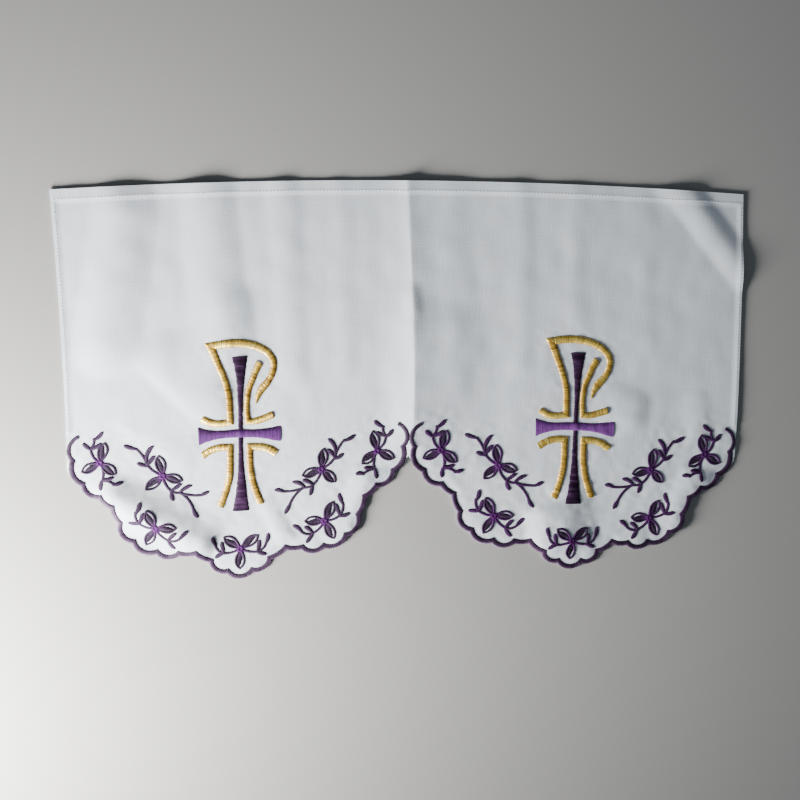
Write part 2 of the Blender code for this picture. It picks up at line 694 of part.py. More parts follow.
def bar_mesh(name, runs):
    rows = []
    for point, half, (_, _, _, height, lift) in stations_of(runs, 1):
        rows.append([(*(point - half * across), lift + height * share) for across, share in DOME])
    return band_mesh(name, rows)


def edging_mesh(name):
    """The satin edging of one large scallop, along its lobes."""
    lines = [hem_line(EDGE_WIDTH * (1 + across) / 2) for across, _ in LOW_DOME]
    rows = []
    for places in zip(*lines):
        rows.append([(*point, EDGE_HEIGHT * share) for point, (_, share) in zip(places, LOW_DOME)])
    return band_mesh(name, rows)


def stroke_share(kind, t):
    """The share of a stroke's width at t, from 0 at its start to 1 at its tip."""
    along, width = np.array(STROKE_SHAPE[kind]).T
    return float(np.interp(t, along, width))


def stroke_mesh(stroke, sink):
    """A petal, stem or leaf of a sprig, reaching sink below the cloth's face for a clean join."""
    start = Vector((stroke["x0"], stroke["y0"])) * MM
    end = Vector((stroke["x1"], stroke["y1"])) * MM
    chord = end - start
    aside = Vector((-chord.y, chord.x)) * stroke["bow"]
    steps = STROKE_STEPS[stroke["kind"]]
    width = STROKE_WIDTH[stroke["kind"]]
    height = STROKE_HEIGHT[stroke["kind"]]
    rows = []
    for i in range(steps + 1):
        t = i / steps
        point = start + chord * t + aside * (4 * t * (1 - t))
        way = (chord + aside * (4 - 8 * t)).normalized()
        share = stroke_share(stroke["kind"], t)
        half = Vector((-way.y, way.x)) * (width / 2 * share)
        crown = height * (0.55 + 0.45 * share)
        top = [(*(point - half * across), crown * rise) for across, rise in RIDGE]
        low = [(*(point + half), -sink), (*(point - half), -sink)]
        rows.append(top + low[::-1])
    return band_mesh(stroke["kind"], rows)


def sprig_mesh(kind, cutters):
    """A whole sprig, flat: its strokes joined to its knot, and cut level with the cloth's face."""
    bm = bmesh.new()
    bmesh.ops.create_cone(
        bm, cap_ends=True, segments=8, radius1=KNOT_RADIUS, radius2=KNOT_RADIUS * 0.55, depth=KNOT_HEIGHT * 2
    )
    knot = bpy.data.meshes.new("knot")
    bm.to_mesh(knot)
    bm.free()
    whole = add_object("sprig_whole", knot, cutters, smooth=False)
    for i, values in enumerate(SPRIGS[kind]):
        body = stroke_mesh(row(SPRIG_COLUMNS, values), STROKE_SINK + STROKE_SINK_STEP * i)
        stroke = add_object("stroke", body, cutters, smooth=False)
        boolean(whole, stroke, "UNION")
        joined = evaluated_mesh(whole)
        whole.modifiers.clear()
        whole.data = joined
        bpy.data.objects.remove(stroke)
    bm = bmesh.new()
    bmesh.ops.create_cube(bm, size=1.0)
    bmesh.ops.scale(bm, vec=(0.2, 0.2, 0.01), verts=bm.verts)
    bmesh.ops.translate(bm, vec=(0, 0, -0.005), verts=bm.verts)
    below = bpy.data.meshes.new("below")
    bm.to_mesh(below)
    bm.free()
    block = add_object("below_cutter", below, cutters, smooth=False)
    boolean(whole, block, "DIFFERENCE")
    mesh = evaluated_mesh(whole)
    bpy.data.objects.remove(whole)
    bpy.data.objects.remove(block)
    bm = bmesh.new()
    bm.from_mesh(mesh)
    bmesh.ops.dissolve_degenerate(bm, edges=bm.edges, dist=1e-5)
    bmesh.ops.triangulate(bm, faces=bm.faces)
    bm.to_mesh(mesh)
    bm.free()
    return mesh


def mirrored(mesh):
    """A copy of a flat mesh, mirrored left to right."""
    bm = bmesh.new()
    bm.from_mesh(mesh)
    for vertex in bm.verts:
        vertex.co.x = -vertex.co.x
    bmesh.ops.reverse_faces(bm, faces=bm.faces)
    copy = bpy.data.meshes.new(mesh.name)
    bm.to_mesh(copy)
    bm.free()
    return copy


def stitch_scallop(side, middle, surface, parts, cutters, looks, sprigs):
    """All the stitching of one large scallop."""
    pieces = [(f"edging_{side}", edging_mesh("edging"), middle, "edging")]
    cross = (middle[0] + CROSS_PLACE[0], middle[1] + CROSS_PLACE[1])
    for name, runs in GOLD_BANDS.items():
        pieces.append((f"{side}_{name}", gold_mesh(name, runs), cross, "gold"))
    for name, runs in BAR_BANDS.items():
        pieces.append((f"{side}_{name}", bar_mesh(name, runs), cross, name))
    for kind, (across, up) in SPRIG_PLACES.items():
        if kind == "middle":
            place = (middle[0], middle[1] + up * MM)
            pieces.append((f"{side}_sprig_middle", sprigs[kind].copy(), place, "sprig"))
            continue
        for hand, sign in (("east", 1), ("west", -1)):
            mesh = sprigs[kind].copy() if sign > 0 else mirrored(sprigs[kind])
            place = (middle[0] + sign * across * MM, middle[1] + up * MM)
            pieces.append((f"{side}_sprig_{kind}_{hand}", mesh, place, "sprig"))
    for name, mesh, place, look in pieces:
        lay_on(mesh, surface, place)
        add_object(name, mesh, parts, looks[look])


def main():
    clear_scene()
    parts = collection("altar_cloth")
    cutters = collection("altar_cloth_cutters")
    looks = {name: material(name) for name in COLOURS}
    surface = make_cloth(parts, cutters, looks["cloth"])
    sprigs = {kind: sprig_mesh(kind, cutters) for kind in SPRIGS}
    for side, sign in (("left", -1), ("right", 1)):
        stitch_scallop(side, (sign * PITCH / 2, 0.0), surface, parts, cutters, looks, sprigs)


main()
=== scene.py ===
"""The looks of the altar cloth: woven cloth with soft puckers, and its stitching thread by thread.

Units are metres. As in the part's source, everything is drawn on the flat cloth first: flat x runs
across it from the joint of the two scallops, and flat y up from the middles of the crosses. laid()
gives the place on the surface, and the relief map how high the cloth's face is there.
"""

import math

import bpy
import numpy as np
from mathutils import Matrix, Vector, kdtree
from mathutils.geometry import delaunay_2d_cdt


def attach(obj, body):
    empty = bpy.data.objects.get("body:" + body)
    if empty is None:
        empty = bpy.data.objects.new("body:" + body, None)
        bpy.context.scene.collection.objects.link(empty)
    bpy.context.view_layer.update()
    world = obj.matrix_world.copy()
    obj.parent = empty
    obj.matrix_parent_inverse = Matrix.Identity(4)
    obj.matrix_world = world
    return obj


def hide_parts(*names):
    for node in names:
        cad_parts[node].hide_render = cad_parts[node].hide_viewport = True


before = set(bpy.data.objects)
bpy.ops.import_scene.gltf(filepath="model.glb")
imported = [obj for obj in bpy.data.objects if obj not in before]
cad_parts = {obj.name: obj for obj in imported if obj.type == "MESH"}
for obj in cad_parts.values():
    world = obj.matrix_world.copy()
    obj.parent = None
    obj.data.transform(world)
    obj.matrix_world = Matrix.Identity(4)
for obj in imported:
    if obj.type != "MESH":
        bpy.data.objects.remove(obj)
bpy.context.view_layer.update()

MM = 0.001

# The cloth, as in the part's source
PITCH = 0.300
TOP = 0.215
NOTCH = -0.0256
NOTCH_DEPTH = 0.0035
TOP_HEM = 0.010
SIDE_HEM = 0.004
SIDE_HEM_END = 0.008
HEM_RISE = 0.0006
EDGE_WIDTH = 0.0033
CURL_WIDTH = 0.75
RIM = 0.0007
LOBE_STEPS = 5
BOW = -0.0024
LEAN = -0.0028
FLARE = -0.0018
CREASE_START = 0.0033
CREASE_SLOPE = -0.012
SETTLE = 0.0003
SOFTEN = 0.0008
CREASE_REACH_LEFT = 0.046
CREASE_REACH_RIGHT = 0.096
CREASE_POWER = 1.6
PINCH_HEIGHT = 0.0009
PINCH_REACH_LEFT = 0.012
PINCH_REACH_RIGHT = 0.026

# The sheet that is seen
FACE = 0.0012  # its face above the folds' underside
SHEET = 0.0009  # its thickness
SHEET_STEPS = 12  # straight stretches to a lobe, in its outline
MESH_BOTTOM = -0.14  # where its rows of points start
MESH_STEP = 0.0023  # the distance between the points
ROW_SPACING = 0.87  # between rows of points, as a share of that distance
POINT_SHIFT = 0.1  # how far a point strays across, as a share of it
CLEAR = 0.45  # how far points stay from the outline and the crest, as a share of it
CREST_ROWS = (-0.0011, 0, 0.0011)  # rows of points along the pressed crease
CREST_SPACING = 0.7  # between the points of such a row, as a share of the distance

# The relief of its face
MAP_STEP = 0.00125  # between the places of the map
MAP_MARGIN = 0.006  # how far the map goes past the sides and the top
MAP_BOTTOM = -0.142
HEM_STEPS = 14  # straight stretches to a lobe, where the relief feels for the hem
RUN_STEPS = 6  # and from one row of a band's table to the next
FEEL_STEP = 0.0015  # between the points of stitching that it feels for
LEAST_HEIGHT = 0.00005  # of the sheet's back above the surface
PUFF = 0.0006  # how far the cloth swells next to the edging
PUFF_REACH = 0.011
TUCK = 0.0002  # how far a line of stitching draws the cloth down
TUCK_REACH = 0.0040
PUCKER_REACH = 0.012  # how far the puckers go from the stitching
RIPPLE_COLUMNS = ("height", "shortest", "longest", "seed")
RIPPLES = {
    "pucker": (0.00010, 0.007, 0.014, 3),
    "crumple": (0.00007, 0.018, 0.035, 4),
    "swell": (0.00012, 0.05, 0.10, 5),
}

# The satin stitches. A pitch is between two stitches, a crown how high they stand, a slant how far
# they lean for each width across, and a jag how uneven their ends are.
THREAD_COLUMNS = ("pitch", "crown", "slant", "jag")
THREADS = {
    "edging": (0.00048, 0.00065, 0.0, 0.00014),
    "gold": (0.00052, 0.0011, 0.12, 0.00022),
    "upright": (0.00062, 0.0007, 0.0, 0.00035),
    "crossbar": (0.00052, 0.0008, 0.0, 0.00016),
    "petal side": (0.00050, 0.00065, 0.35, 0.0001),
    "petal lens": (0.00050, 0.00045, 0.25, 0.0002),
    "stem": (0.00055, 0.00050, 0.5, 0.00008),
    "leaf": (0.00050, 0.00060, 0.5, 0.00012),
}
THREAD_STEPS = 8  # straight stretches from one row of a band's table to the next
THREAD_SHARE = 1.3  # a stitch's width, as a share of its pitch
EDGING_SHARE = 1.4  # the same in the edging
LEAST_STITCH = 0.0002  # the shortest that is sewn
RAISE = 0.0003  # how far the ends of the stitches stand above the cloth's mesh
OVERHANG = 0.0003  # how far the edging's stitches go past it on both sides
ARC_SHARE = 1.25  # about how much longer a lobe's line is than its chord
BRIDGE = 0.0006  # how high the crossbar rises over the upright
BRIDGE_REACH = 0.0030
KNOT_SPOKES = 24
KNOT_STITCH_WIDTH = 0.0006
KNOT_HEIGHT = 0.0006
KNOT_LIFT = 0.0003  # over the stitches under it
HEM_STITCH = 0.0021  # the length of a running stitch
HEM_PITCH = 0.0030
HEM_STITCH_WIDTH = 0.00045
HEM_STITCH_HEIGHT = 0.00028

# How light the thread is, from 0 to 1. The two scallops differ only as painted light:
# the right one, farther from the lamp, is set lighter.
BAR_TONES = {
    "left": {"crossbar": 0.27, "upright": 0.40},
    "right": {"crossbar": 0.64, "upright": 0.42},
}
GOLD_TONES = {"left": 0.52, "right": 0.60}
SPRIG_TONES = {"left": 0.44, "right": 0.64}
LENS_TONE = -0.22  # a petal's lens, against the sprig
STEM_TONE = 0.05  # stems and leaves, against the sprig
# painted sheen: the knot's stitches are set light, and the sprig is lighter near the knot
KNOT_TONE = 0.95
KNOT_SHEEN_REACH = 0.0055  # how far from a knot the sprig is lighter
HEM_TONE = 0.5
# the cap on the curls' tone also holds down the edging's painted sheen there
CURL_TONE = 0.46  # the most in the edging's curls
GOLD_GLINT = 0.35  # gold that runs across the cloth, against gold that runs up it
# How that changes along a stitch, as painted light and shade across each band
SHADE_COLUMNS = ("along", "tone")
# painted light on the edging: lighter at the inner end, then a lilac painted sheen out to the cut
# edge
EDGING_PAINTED_LIGHT = ((0, 0.62), (0.12, 0.42), (0.52, 0.38), (0.72, 0.60), (0.9, 0.90), (1, 1.0))
# painted shade on the gold: darker at both edges of each band
GOLD_PAINTED_SHADE = ((0, -0.30), (0.18, 0.04), (0.5, 0.14), (0.82, 0.04), (1, -0.30))
# painted shade on the crossbar: darker along its upper edge
CROSSBAR_PAINTED_SHADE = ((0, -0.225), (0.16, -0.19), (0.34, 0), (1, 0.05))

LOBE_COLUMNS = ("across", "up", "rise")
LOBES = (
    (10.0, -124.7, 0.31),
    (23.9, -115.6, 0.29),
    (38.9, -105.6, 0.10),
    (55.0, -106.1, 0.10),
    (72.9, -104.9, 0.29),
    (91.4, -95.0, 0.27),
    (101.4, -78.4, 0.28),
    (107.8, -60.7, 0.10),
    (119.8, -50.4, 0.10),
    (134.2, -38.3, 0.26),
    (142.7, -17.1, 0.22),
    (139.2, 2.8, 0.28),
)
LOBE_COUNT = 2 * len(LOBES) - 1

FOLD_COLUMNS = ("x0", "y0", "x1", "y1", "height", "left", "right", "fade")
FOLDS = {
    "left edge roll": (-264, 88, -243, 190, 5.2, 36, 42, 46),
    "left diagonal": (-184, 22, -223, 62, 1.9, 22, 60, 26),
    "left low diagonal": (-204, -22, -250, 14, 1.4, 20, 40, 24),
    "left wave 1": (-166, 74, -170, 240, 3.1, 40, 36, 30),
    "left wave 2": (-104, 50, -107, 240, 1.7, 28, 28, 30),
    "left wave 3": (-56, 50, -58, 240, 1.1, 26, 24, 30),
    "left pucker": (-148, 96, -151, 108, 2.0, 34, 18, 26),
    "left hem roll": (-260, -58, -188, -106, 5.0, 27, 26, 18),
    "left inner lift": (-78, -74, -64, -98, 1.6, 24, 26, 20),
    "left hem lift": (-40, -48, -52, -90, 2.6, 26, 24, 22),
    "crease flank": (3, 0, 2, 84, 1.3, 24, 90, 34),
    "crease knuckle": (2, 92, 1, 108, 1.0, 12, 14, 20),
    "right wave 1": (40, 40, 40, 240, 0.5, 20, 26, 24),
    "right wave 2": (100, 56, 101, 240, 1.2, 28, 24, 30),
    "right wave 3": (146, 100, 148, 240, 1.1, 22, 26, 24),
    "right wave 4": (213, 80, 214, 240, 0.9, 26, 24, 30),
    "right corner fold": (238, 222, 304, 146, 3.4, 24, 26, 20),
    "right dimple": (200, 12, 202, 22, 1.8, 50, 26, 22),
    "right bottom fold": (131, -112, 124, -82, 5.4, 30, 52, 16),
    "right bottom lift": (200, -112, 216, -106, 1.8, 22, 22, 16),
    "right hem lift": (263, -46, 250, -92, 3.0, 30, 28, 24),
    "right edge lift": (264, -2, 262, 30, 1.5, 26, 24, 20),
}
# Softer creases, which only the cloth that is seen has
CREASES = {
    "left hem roll, inner side": (-264, -48, -184, -93, 3.4, 32, 24, 20),
    "left diagonal, rounder": (-174, 28, -220, 74, 1.2, 26, 40, 26),
    "beside the left foot": (-112, -98, -129, -66, 1.9, 16, 18, 16),
    "above the left loop, softer": (-148, 96, -151, 108, -1.5, 34, 18, 26),
    "above the left loop, wider": (-150, 86, -150, 110, 1.3, 34, 30, 28),
    "crease knuckle, softer": (2, 92, 1, 108, -0.8, 12, 14, 20),
    "crease knuckle, higher": (3, 108, 2, 118, 0.7, 12, 10, 14),
    "right dimple, wider": (188, -4, 192, 30, 0.9, 46, 48, 44),
    "right bottom fold, east side": (156, -104, 150, -60, 1.4, 28, 36, 24),
    "right bottom fold, top": (132, -60, 144, -60, 1.4, 18, 12, 14),
}
CREASE_COLUMNS = ("up", "height")
CREASE = ((-26.0, 3.0), (10.0, 4.8), (95.0, 4.8), (130.0, 3.6), (215.0, 2.8))

SHIFT_COLUMNS = ("across", "up", "reach", "right", "away")
SHIFTS = {
    "left end": (-256, -70, 52, -1.6, 2.3),
    "left outer lobe": (-228, -104, 26, 0.4, 0.6),
    "left middle lobe": (-150, -124, 28, -0.9, -1.6),
    "left inner lobes": (-64, -98, 30, 0.1, -1.0),
    "left cross": (-150, 0, 85, 0.6, -0.8),
    "left outer sprig": (-215, -38, 28, 2.4, -0.2),
    "joint": (-8, -25, 46, -2.2, 0.5),
    "right inner lobes": (92, -98, 38, 1.6, 0.4),
    "right outer lobes": (222, -104, 45, -1.7, 0.1),
    "right cross": (150, 0, 85, 0.4, 1.6),
    "right outer sprig": (215, -30, 30, 0.9, -2.0),
    "right end": (272, -52, 34, -2.0, -0.5),
}

CROSS_PLACE = (-0.0009, 0.0007)
# Each run of a band has the columns across, up and width
GOLD_BANDS = {
    "gold_loop": (
        (
            (-33.1, 14.2, 5.8),
            (-26.5, 10.2, 6.2),
            (-20.7, 8.8, 6.3),
            (-14.9, 8.8, 6.0),
            (-8.8, 9.6, 5.8),
        ),
        (
            (-8.8, 9.6, 5.8),
            (-8.9, 20.3, 5.8),
            (-9.2, 32.3, 5.8),
            (-10.8, 41.0, 5.7),
            (-13.4, 50.0, 5.7),
            (-17.4, 61.1, 6.0),
            (-21.0, 71.0, 6.6),
            (-23.6, 77.2, 6.8),
        ),
        (
            (-23.6, 77.2, 6.8),
            (-15.5, 78.6, 6.8),
            (-5.0, 79.4, 6.8),
            (5.5, 78.6, 6.8),
            (15.7, 75.7, 6.5),
            (24.2, 70.9, 6.2),
            (29.2, 64.6, 5.9),
            (30.3, 58.6, 5.7),
            (28.6, 51.4, 5.5),
            (24.8, 44.6, 6.0),
            (19.8, 38.9, 6.8),
            (16.2, 33.0, 4.8),
            (13.7, 25.4, 1.2),
        ),
    ),
    "gold_spur": (
        (
            (18.2, 61.2, 6.4),
            (14.8, 54.9, 5.8),
            (11.4, 46.8, 5.5),
            (8.0, 38.4, 5.1),
            (6.2, 28.6, 4.8),
            (5.9, 19.6, 4.8),
            (6.7, 9.6, 5.2),
        ),
        ((6.7, 9.6, 5.2), (12.3, 9.7, 5.8), (19.5, 11.5, 6.2), (28.6, 14.9, 6.6)),
    ),
    "gold_foot_west": (
        (
            (-33.1, -19.4, 6.6),
            (-26.9, -15.5, 6.5),
            (-19.9, -13.3, 6.4),
            (-14.1, -12.8, 6.2),
            (-9.3, -13.1, 6.0),
        ),
        (
            (-9.3, -13.1, 6.0),
            (-9.4, -22.4, 5.8),
            (-9.3, -31.0, 5.8),
            (-9.9, -40.2, 5.8),
            (-12.0, -50.0, 5.8),
            (-14.6, -58.7, 5.9),
            (-17.6, -67.3, 6.6),
        ),
    ),
    "gold_foot_east": (
        (
            (17.8, -66.2, 6.6),
            (15.5, -60.0, 6.2),
            (12.2, -51.0, 6.0),
            (9.8, -41.8, 5.8),
            (8.4, -31.9, 5.8),
            (8.0, -23.2, 5.7),
            (8.1, -13.2, 5.9),
        ),
        (
            (8.1, -13.2, 5.9),
            (12.8, -13.3, 6.3),
            (18.7, -14.0, 6.4),
            (25.3, -16.1, 6.6),
            (31.0, -19.9, 6.9),
        ),
    ),
}
BAR_BANDS = {
    "crossbar": (
        (
            (-36.3, -1.9, 16.6),
            (-32.0, -1.8, 13.0),
            (-27.0, -1.7, 10.0),
            (-21.0, -1.4, 7.8),
            (-13.0, -1.0, 7.1),
            (-7.5, -0.8, 7.2),
            (-2.6, -0.8, 7.3),
            (2.6, -0.9, 7.3),
            (7.5, -1.1, 7.2),
            (14.0, -1.5, 7.5),
            (22.0, -1.8, 9.3),
            (29.0, -2.2, 12.2),
            (35.0, -2.3, 14.0),
        ),
    ),
    "upright": (
        (
            (1.1, 67.0, 13.4),
            (1.2, 61.0, 10.9),
            (1.1, 55.0, 9.0),
            (0.9, 47.0, 7.0),
            (0.5, 34.0, 5.0),
            (0.2, 18.0, 4.0),
            (0.0, 5.0, 3.9),
            (0.0, -1.2, 3.8),
            (-0.1, -7.0, 3.9),
            (0.0, -20.0, 4.3),
            (0.3, -35.0, 5.6),
            (0.6, -47.5, 8.0),
            (0.6, -59.5, 11.0),
            (0.5, -67.0, 13.1),
            (0.5, -72.0, 14.6),
        ),
    ),
}

SPRIG_COLUMNS = ("kind", "x0", "y0", "x1", "y1", "bow")
SPRIGS = {
    "side": (
        ("petal", 0.0, 0.0, 2.3, 18.8, 0.0),
        ("petal", 0.0, 0.0, -16.9, -5.1, 0.0),
        ("petal", 0.0, 0.0, 12.8, -12.2, 0.0),
        ("stem", 0.0, 0.0, 12.2, 10.4, -0.08),
        ("stem", 12.2, 10.4, 20.6, 26.0, 0.07),
        ("leaf", 20.0, 25.4, 30.5, 29.9, -0.05),
        ("leaf", 12.6, 14.2, 6.1, 27.8, -0.14),
        ("leaf", 12.0, 10.2, 5.5, 18.4, -0.04),
        ("leaf", 11.6, 9.0, 19.8, 13.1, -0.05),
        ("stem", 0.0, 0.0, -7.9, -14.9, 0.09),
        ("stem", -7.9, -14.9, -15.6, -16.6, 0.08),
        ("leaf", -7.8, -14.0, -16.3, -8.7, -0.03),
        ("leaf", -7.8, -14.6, -10.2, -23.6, 0.05),
        ("leaf", -15.0, -16.2, -25.6, -10.4, -0.10),
        ("stem", -15.4, -16.4, -34.6, -19.4, 0.06),
        ("leaf", -33.8, -19.6, -41.3, -17.0, -0.04),
        ("stem", -15.4, -16.4, -28.2, -32.5, -0.09),
        ("leaf", -27.9, -31.6, -32.3, -39.9, 0.04),
    ),
    "far": (
        ("petal", 0.0, 0.0, -4.3, 18.1, 0.0),
        ("petal", 0.0, 0.0, -13.7, -11.3, 0.0),
        ("petal", 0.0, 0.0, 15.6, -7.0, 0.0),
        ("stem", 0.0, 0.0, 7.8, 13.7, -0.12),
        ("stem", 7.8, 13.7, 4.8, 22.6, 0.12),
        ("leaf", 5.4, 21.6, -2.9, 28.0, 0.08),
        ("leaf", 7.6, 12.6, 14.0, 19.2, -0.04),
        ("leaf", 7.6, 13.4, -1.2, 17.6, 0.05),
        ("stem", 0.0, 0.0, -2.3, -16.9, -0.10),
        ("stem", -2.3, -16.9, -12.9, -20.9, -0.12),
        ("leaf", -12.0, -20.7, -19.6, -19.7, -0.04),
        ("leaf", -2.1, -15.4, -11.7, -14.5, 0.06),
        ("leaf", -1.9, -16.2, -0.8, -25.2, 0.03),
    ),
    "low": (
        ("petal", 0.0, 0.0, 7.6, 17.1, 0.0),
        ("petal", 0.0, 0.0, -17.4, -0.1, 0.0),
        ("petal", 0.0, 0.0, 8.8, -16.6, 0.0),
        ("stem", 0.0, 0.0, 13.8, 4.9, -0.09),
        ("stem", 13.8, 4.9, 16.4, 16.1, -0.10),
        ("leaf", 16.4, 14.6, 13.1, 24.6, 0.06),
        ("leaf", 13.6, 4.8, 10.2, 15.0, 0.03),
        ("leaf", 13.4, 4.4, 22.6, 6.2, -0.03),
        ("stem", 0.0, 0.0, -10.5, -11.9, 0.09),
        ("stem", -10.5, -11.9, -21.0, -9.8, 0.14),
        ("leaf", -20.2, -10.4, -27.8, -3.3, -0.05),
        ("leaf", -10.6, -11.4, -17.6, -4.9, -0.05),
        ("leaf", -10.2, -11.6, -16.1, -20.4, 0.04),
    ),
    "middle": (
        ("petal", 0.0, 0.0, 14.9, 11.2, 0.0),
        ("petal", 0.0, 0.0, -14.9, 11.2, 0.0),
        ("petal", 0.0, 0.0, 0.0, -18.8, 0.0),
        ("stem", 0.0, 0.0, 14.6, -3.9, -0.07),
        ("stem", 14.6, -3.9, 22.4, 3.9, -0.16),
        ("leaf", 22.0, 3.2, 24.4, 12.4, -0.05),
        ("leaf", 14.9, -3.4, 16.6, 6.6, -0.03),
        ("leaf", 14.0, -3.6, 22.4, -7.6, 0.03),
        ("stem", 0.0, 0.0, -14.6, -3.9, 0.07),
        ("stem", -14.6, -3.9, -22.4, 3.9, 0.16),
        ("leaf", -22.0, 3.2, -24.4, 12.4, 0.05),
        ("leaf", -14.9, -3.4, -16.6, 6.6, 0.03),
        ("leaf", -14.0, -3.6, -22.4, -7.6, -0.03),
    ),
}
SPRIG_PLACES = {
    "side": (70.4, -36.1),
    "far": (121.6, -21.1),
    "low": (73.8, -83.8),
    "middle": (0.0, -106.4),
}
PETAL_WIDTH = 0.0100
PETAL_STEPS = 24
PETAL_LINE = 0.0023  # the width of a petal's satin outline
BARE_WAY = (0.8, 0.6)  # the side on which the cloth shows inside a petal
LENS_WIDTH = 0.0046  # of the filled shape inside it
LENS_START = 0.10  # where it starts, as a share of the petal
LENS_LENGTH = 0.78
LENS_TIP = 3  # how many of its points its blunt ends leave out
STEM_WIDTH = 0.0024
LEAF_WIDTH = 0.0041
KNOT_RADIUS = 0.0032

# The threads' looks
LOOK_COLUMNS = ("dark", "mid", "light", "roughness", "specular", "metallic")
THREAD_LOOKS = {
    "edging_thread": (
        (0.010, 0.004, 0.013), (0.042, 0.017, 0.051), (0.160, 0.090, 0.175), 0.55, 0.25, 0.0,
    ),
    "gold_thread": (
        (0.20, 0.090, 0.012), (0.73, 0.43, 0.060), (1.0, 0.76, 0.18), 0.36, 0.5, 0.56,
    ),
    "bright_purple_thread": (
        (0.036, 0.009, 0.052), (0.150, 0.036, 0.225), (0.30, 0.11, 0.38), 0.6, 0.15, 0.0,
    ),
    "dark_purple_thread": (
        (0.009, 0.003, 0.010), (0.036, 0.012, 0.042), (0.13, 0.060, 0.14), 0.55, 0.12, 0.0,
    ),
    "plum_thread": (
        (0.012, 0.007, 0.014), (0.048, 0.026, 0.058), (0.080, 0.013, 0.108), 0.55, 0.10, 0.0,
    ),
    "hem_thread": (
        (0.7, 0.72, 0.76), (0.8, 0.82, 0.85), (0.88, 0.89, 0.9), 0.6, 0.25, 0.0,
    ),
}

# The floor, the light and the camera
FLOOR_REACH = 9
FLOOR_COLOUR = (0.37, 0.36, 0.345, 1)
LIGHT_PLACE = (-0.61, -0.34, 0.215)
LIGHT_TARGET = (-0.10, -0.03, 0)
LIGHT_SIZE = 0.30
LIGHT_WATTS = 26.4
LIGHT_COLOUR = (1.0, 1.0, 0.99)
ROOM_COLOUR = (0.76, 0.88, 1.0, 1)
ROOM_STRENGTH = 0.16
CAMERA_PLACE = (-0.0846, 0.2119, 0.8628)  # on the flat cloth, and above the surface
CAMERA_TURNS = (-12.18, -4.96, 0.44)  # in degrees
CAMERA_LENS = 45.0
CAMERA_SENSOR = 36.0

rng = np.random.default_rng(11)


def row(columns, values):
    return dict(zip(columns, values))


# The flat outline


def arc_circle(p, q, rise):
    """Centre and radius of the arc from p to q that bulges to the right by rise of its chord."""
    chord = q - p
    length = chord.length
    outward = Vector((chord.y, -chord.x)) / length
    sagitta = rise * length
    radius = (length**2 / 4 + sagitta**2) / (2 * sagitta)
    return (p + q) / 2 + outward * (sagitta - radius), radius


def hem_lobes():
    """The lobes of one large scallop from left to right: (start cusp, end cusp, centre, radius)."""
    rows = [row(LOBE_COLUMNS, values) for values in LOBES]
    right = [(Vector((r["across"], r["up"])) * MM, r["rise"]) for r in rows]
    left = [(Vector((-point.x, point.y)), rise) for point, rise in reversed(right)]
    cusps = [point for point, _ in left] + [point for point, _ in right]
    rises = [rise for _, rise in left[:-1]] + [rise for _, rise in right]
    return [(p, q, *arc_circle(p, q, rise)) for p, q, rise in zip(cusps, cusps[1:], rises)]


def circles_meet(first, second, near):
    """Where two circles (centre, radius) cross, at the crossing nearer to the point near."""
    (c0, r0), (c1, r1) = first, second
    between = c1 - c0
    distance = between.length
    along = (distance**2 + r0**2 - r1**2) / (2 * distance)
    half = math.sqrt(max(r0**2 - along**2, 0.0))
    foot = c0 + between * (along / distance)
    side = Vector((-between.y, between.x)) * (half / distance)
    return min((foot + side, foot - side), key=lambda point: (point - near).length)


def hem_line(offset, counts):
    """The lobes' line, set out by offset: an array of points with counts[k] steps along lobe k."""
    lobes = hem_lobes()
    shares = [CURL_WIDTH, *[1.0] * (len(lobes) - 2), CURL_WIDTH]
    radii = [radius + offset * share for (_, _, _, radius), share in zip(lobes, shares)]
    circles = [(centre, radius) for (_, _, centre, _), radius in zip(lobes, radii)]
    first = circles[0][0] + (lobes[0][0] - circles[0][0]).normalized() * radii[0]
    last = circles[-1][0] + (lobes[-1][1] - circles[-1][0]).normalized() * radii[-1]
    pairs = zip(circles, circles[1:], lobes)
    joints = [circles_meet(one, two, lobe[1]) for one, two, lobe in pairs]
    ends = [first, *joints, last]
    points = []
    for (centre, radius), start, end, count in zip(circles, ends, ends[1:], counts):
        a0 = math.atan2(start.y - centre.y, start.x - centre.x)
        a1 = math.atan2(end.y - centre.y, end.x - centre.x)
        if a1 < a0:
            a1 += 2 * math.pi
        angles = a0 + (a1 - a0) * np.arange(count) / count
        points.append(np.array(centre) + radius * np.column_stack([np.cos(angles), np.sin(angles)]))
    return np.vstack([*points, [tuple(last)]])


def cloth_outline(steps):
    """The flat cloth's outline: down the left side, along both scallops, and up the right side."""
    half = PITCH / 2
    line = hem_line(EDGE_WIDTH + RIM, [steps] * LOBE_COUNT)
    scallop = line[(line[:, 1] < NOTCH - NOTCH_DEPTH) & (np.abs(line[:, 0]) < half)]
    points = [np.array([(-PITCH, TOP), (-PITCH, NOTCH)])]
    for middle in (-half, half):
        points += [scallop + (middle, 0), np.array([(middle + half, NOTCH)])]
    return np.vstack([*points, [(PITCH, TOP), (0, TOP)]])


# How the flat cloth lies


def lie(x, y):
    """Where points of the flat cloth lie, before it is centred: bowed, leaning and shifted."""
    u, v = 2 * x / PITCH, 2 * y / PITCH
    across, up = x + FLARE * u * v + LEAN * v**2, y + BOW * u**2
    for values in SHIFTS.values():
        shift = row(SHIFT_COLUMNS, values)
        off = np.hypot(x - shift["across"] * MM, y - shift["up"] * MM) / (shift["reach"] * MM)
        share = np.exp(-(off**2)) * MM
        across, up = across + shift["right"] * share, up + shift["away"] * share
    return across, up


def centre_of_cloth():
    box = np.array(lie(*cloth_outline(LOBE_STEPS).T))
    return (box.max(axis=1) + box.min(axis=1)) / 2


MIDDLE = centre_of_cloth()


def laid(x, y):
    """The place on the surface of points of the flat cloth."""
    across, up = lie(x, y)
    return across - MIDDLE[0], up - MIDDLE[1]


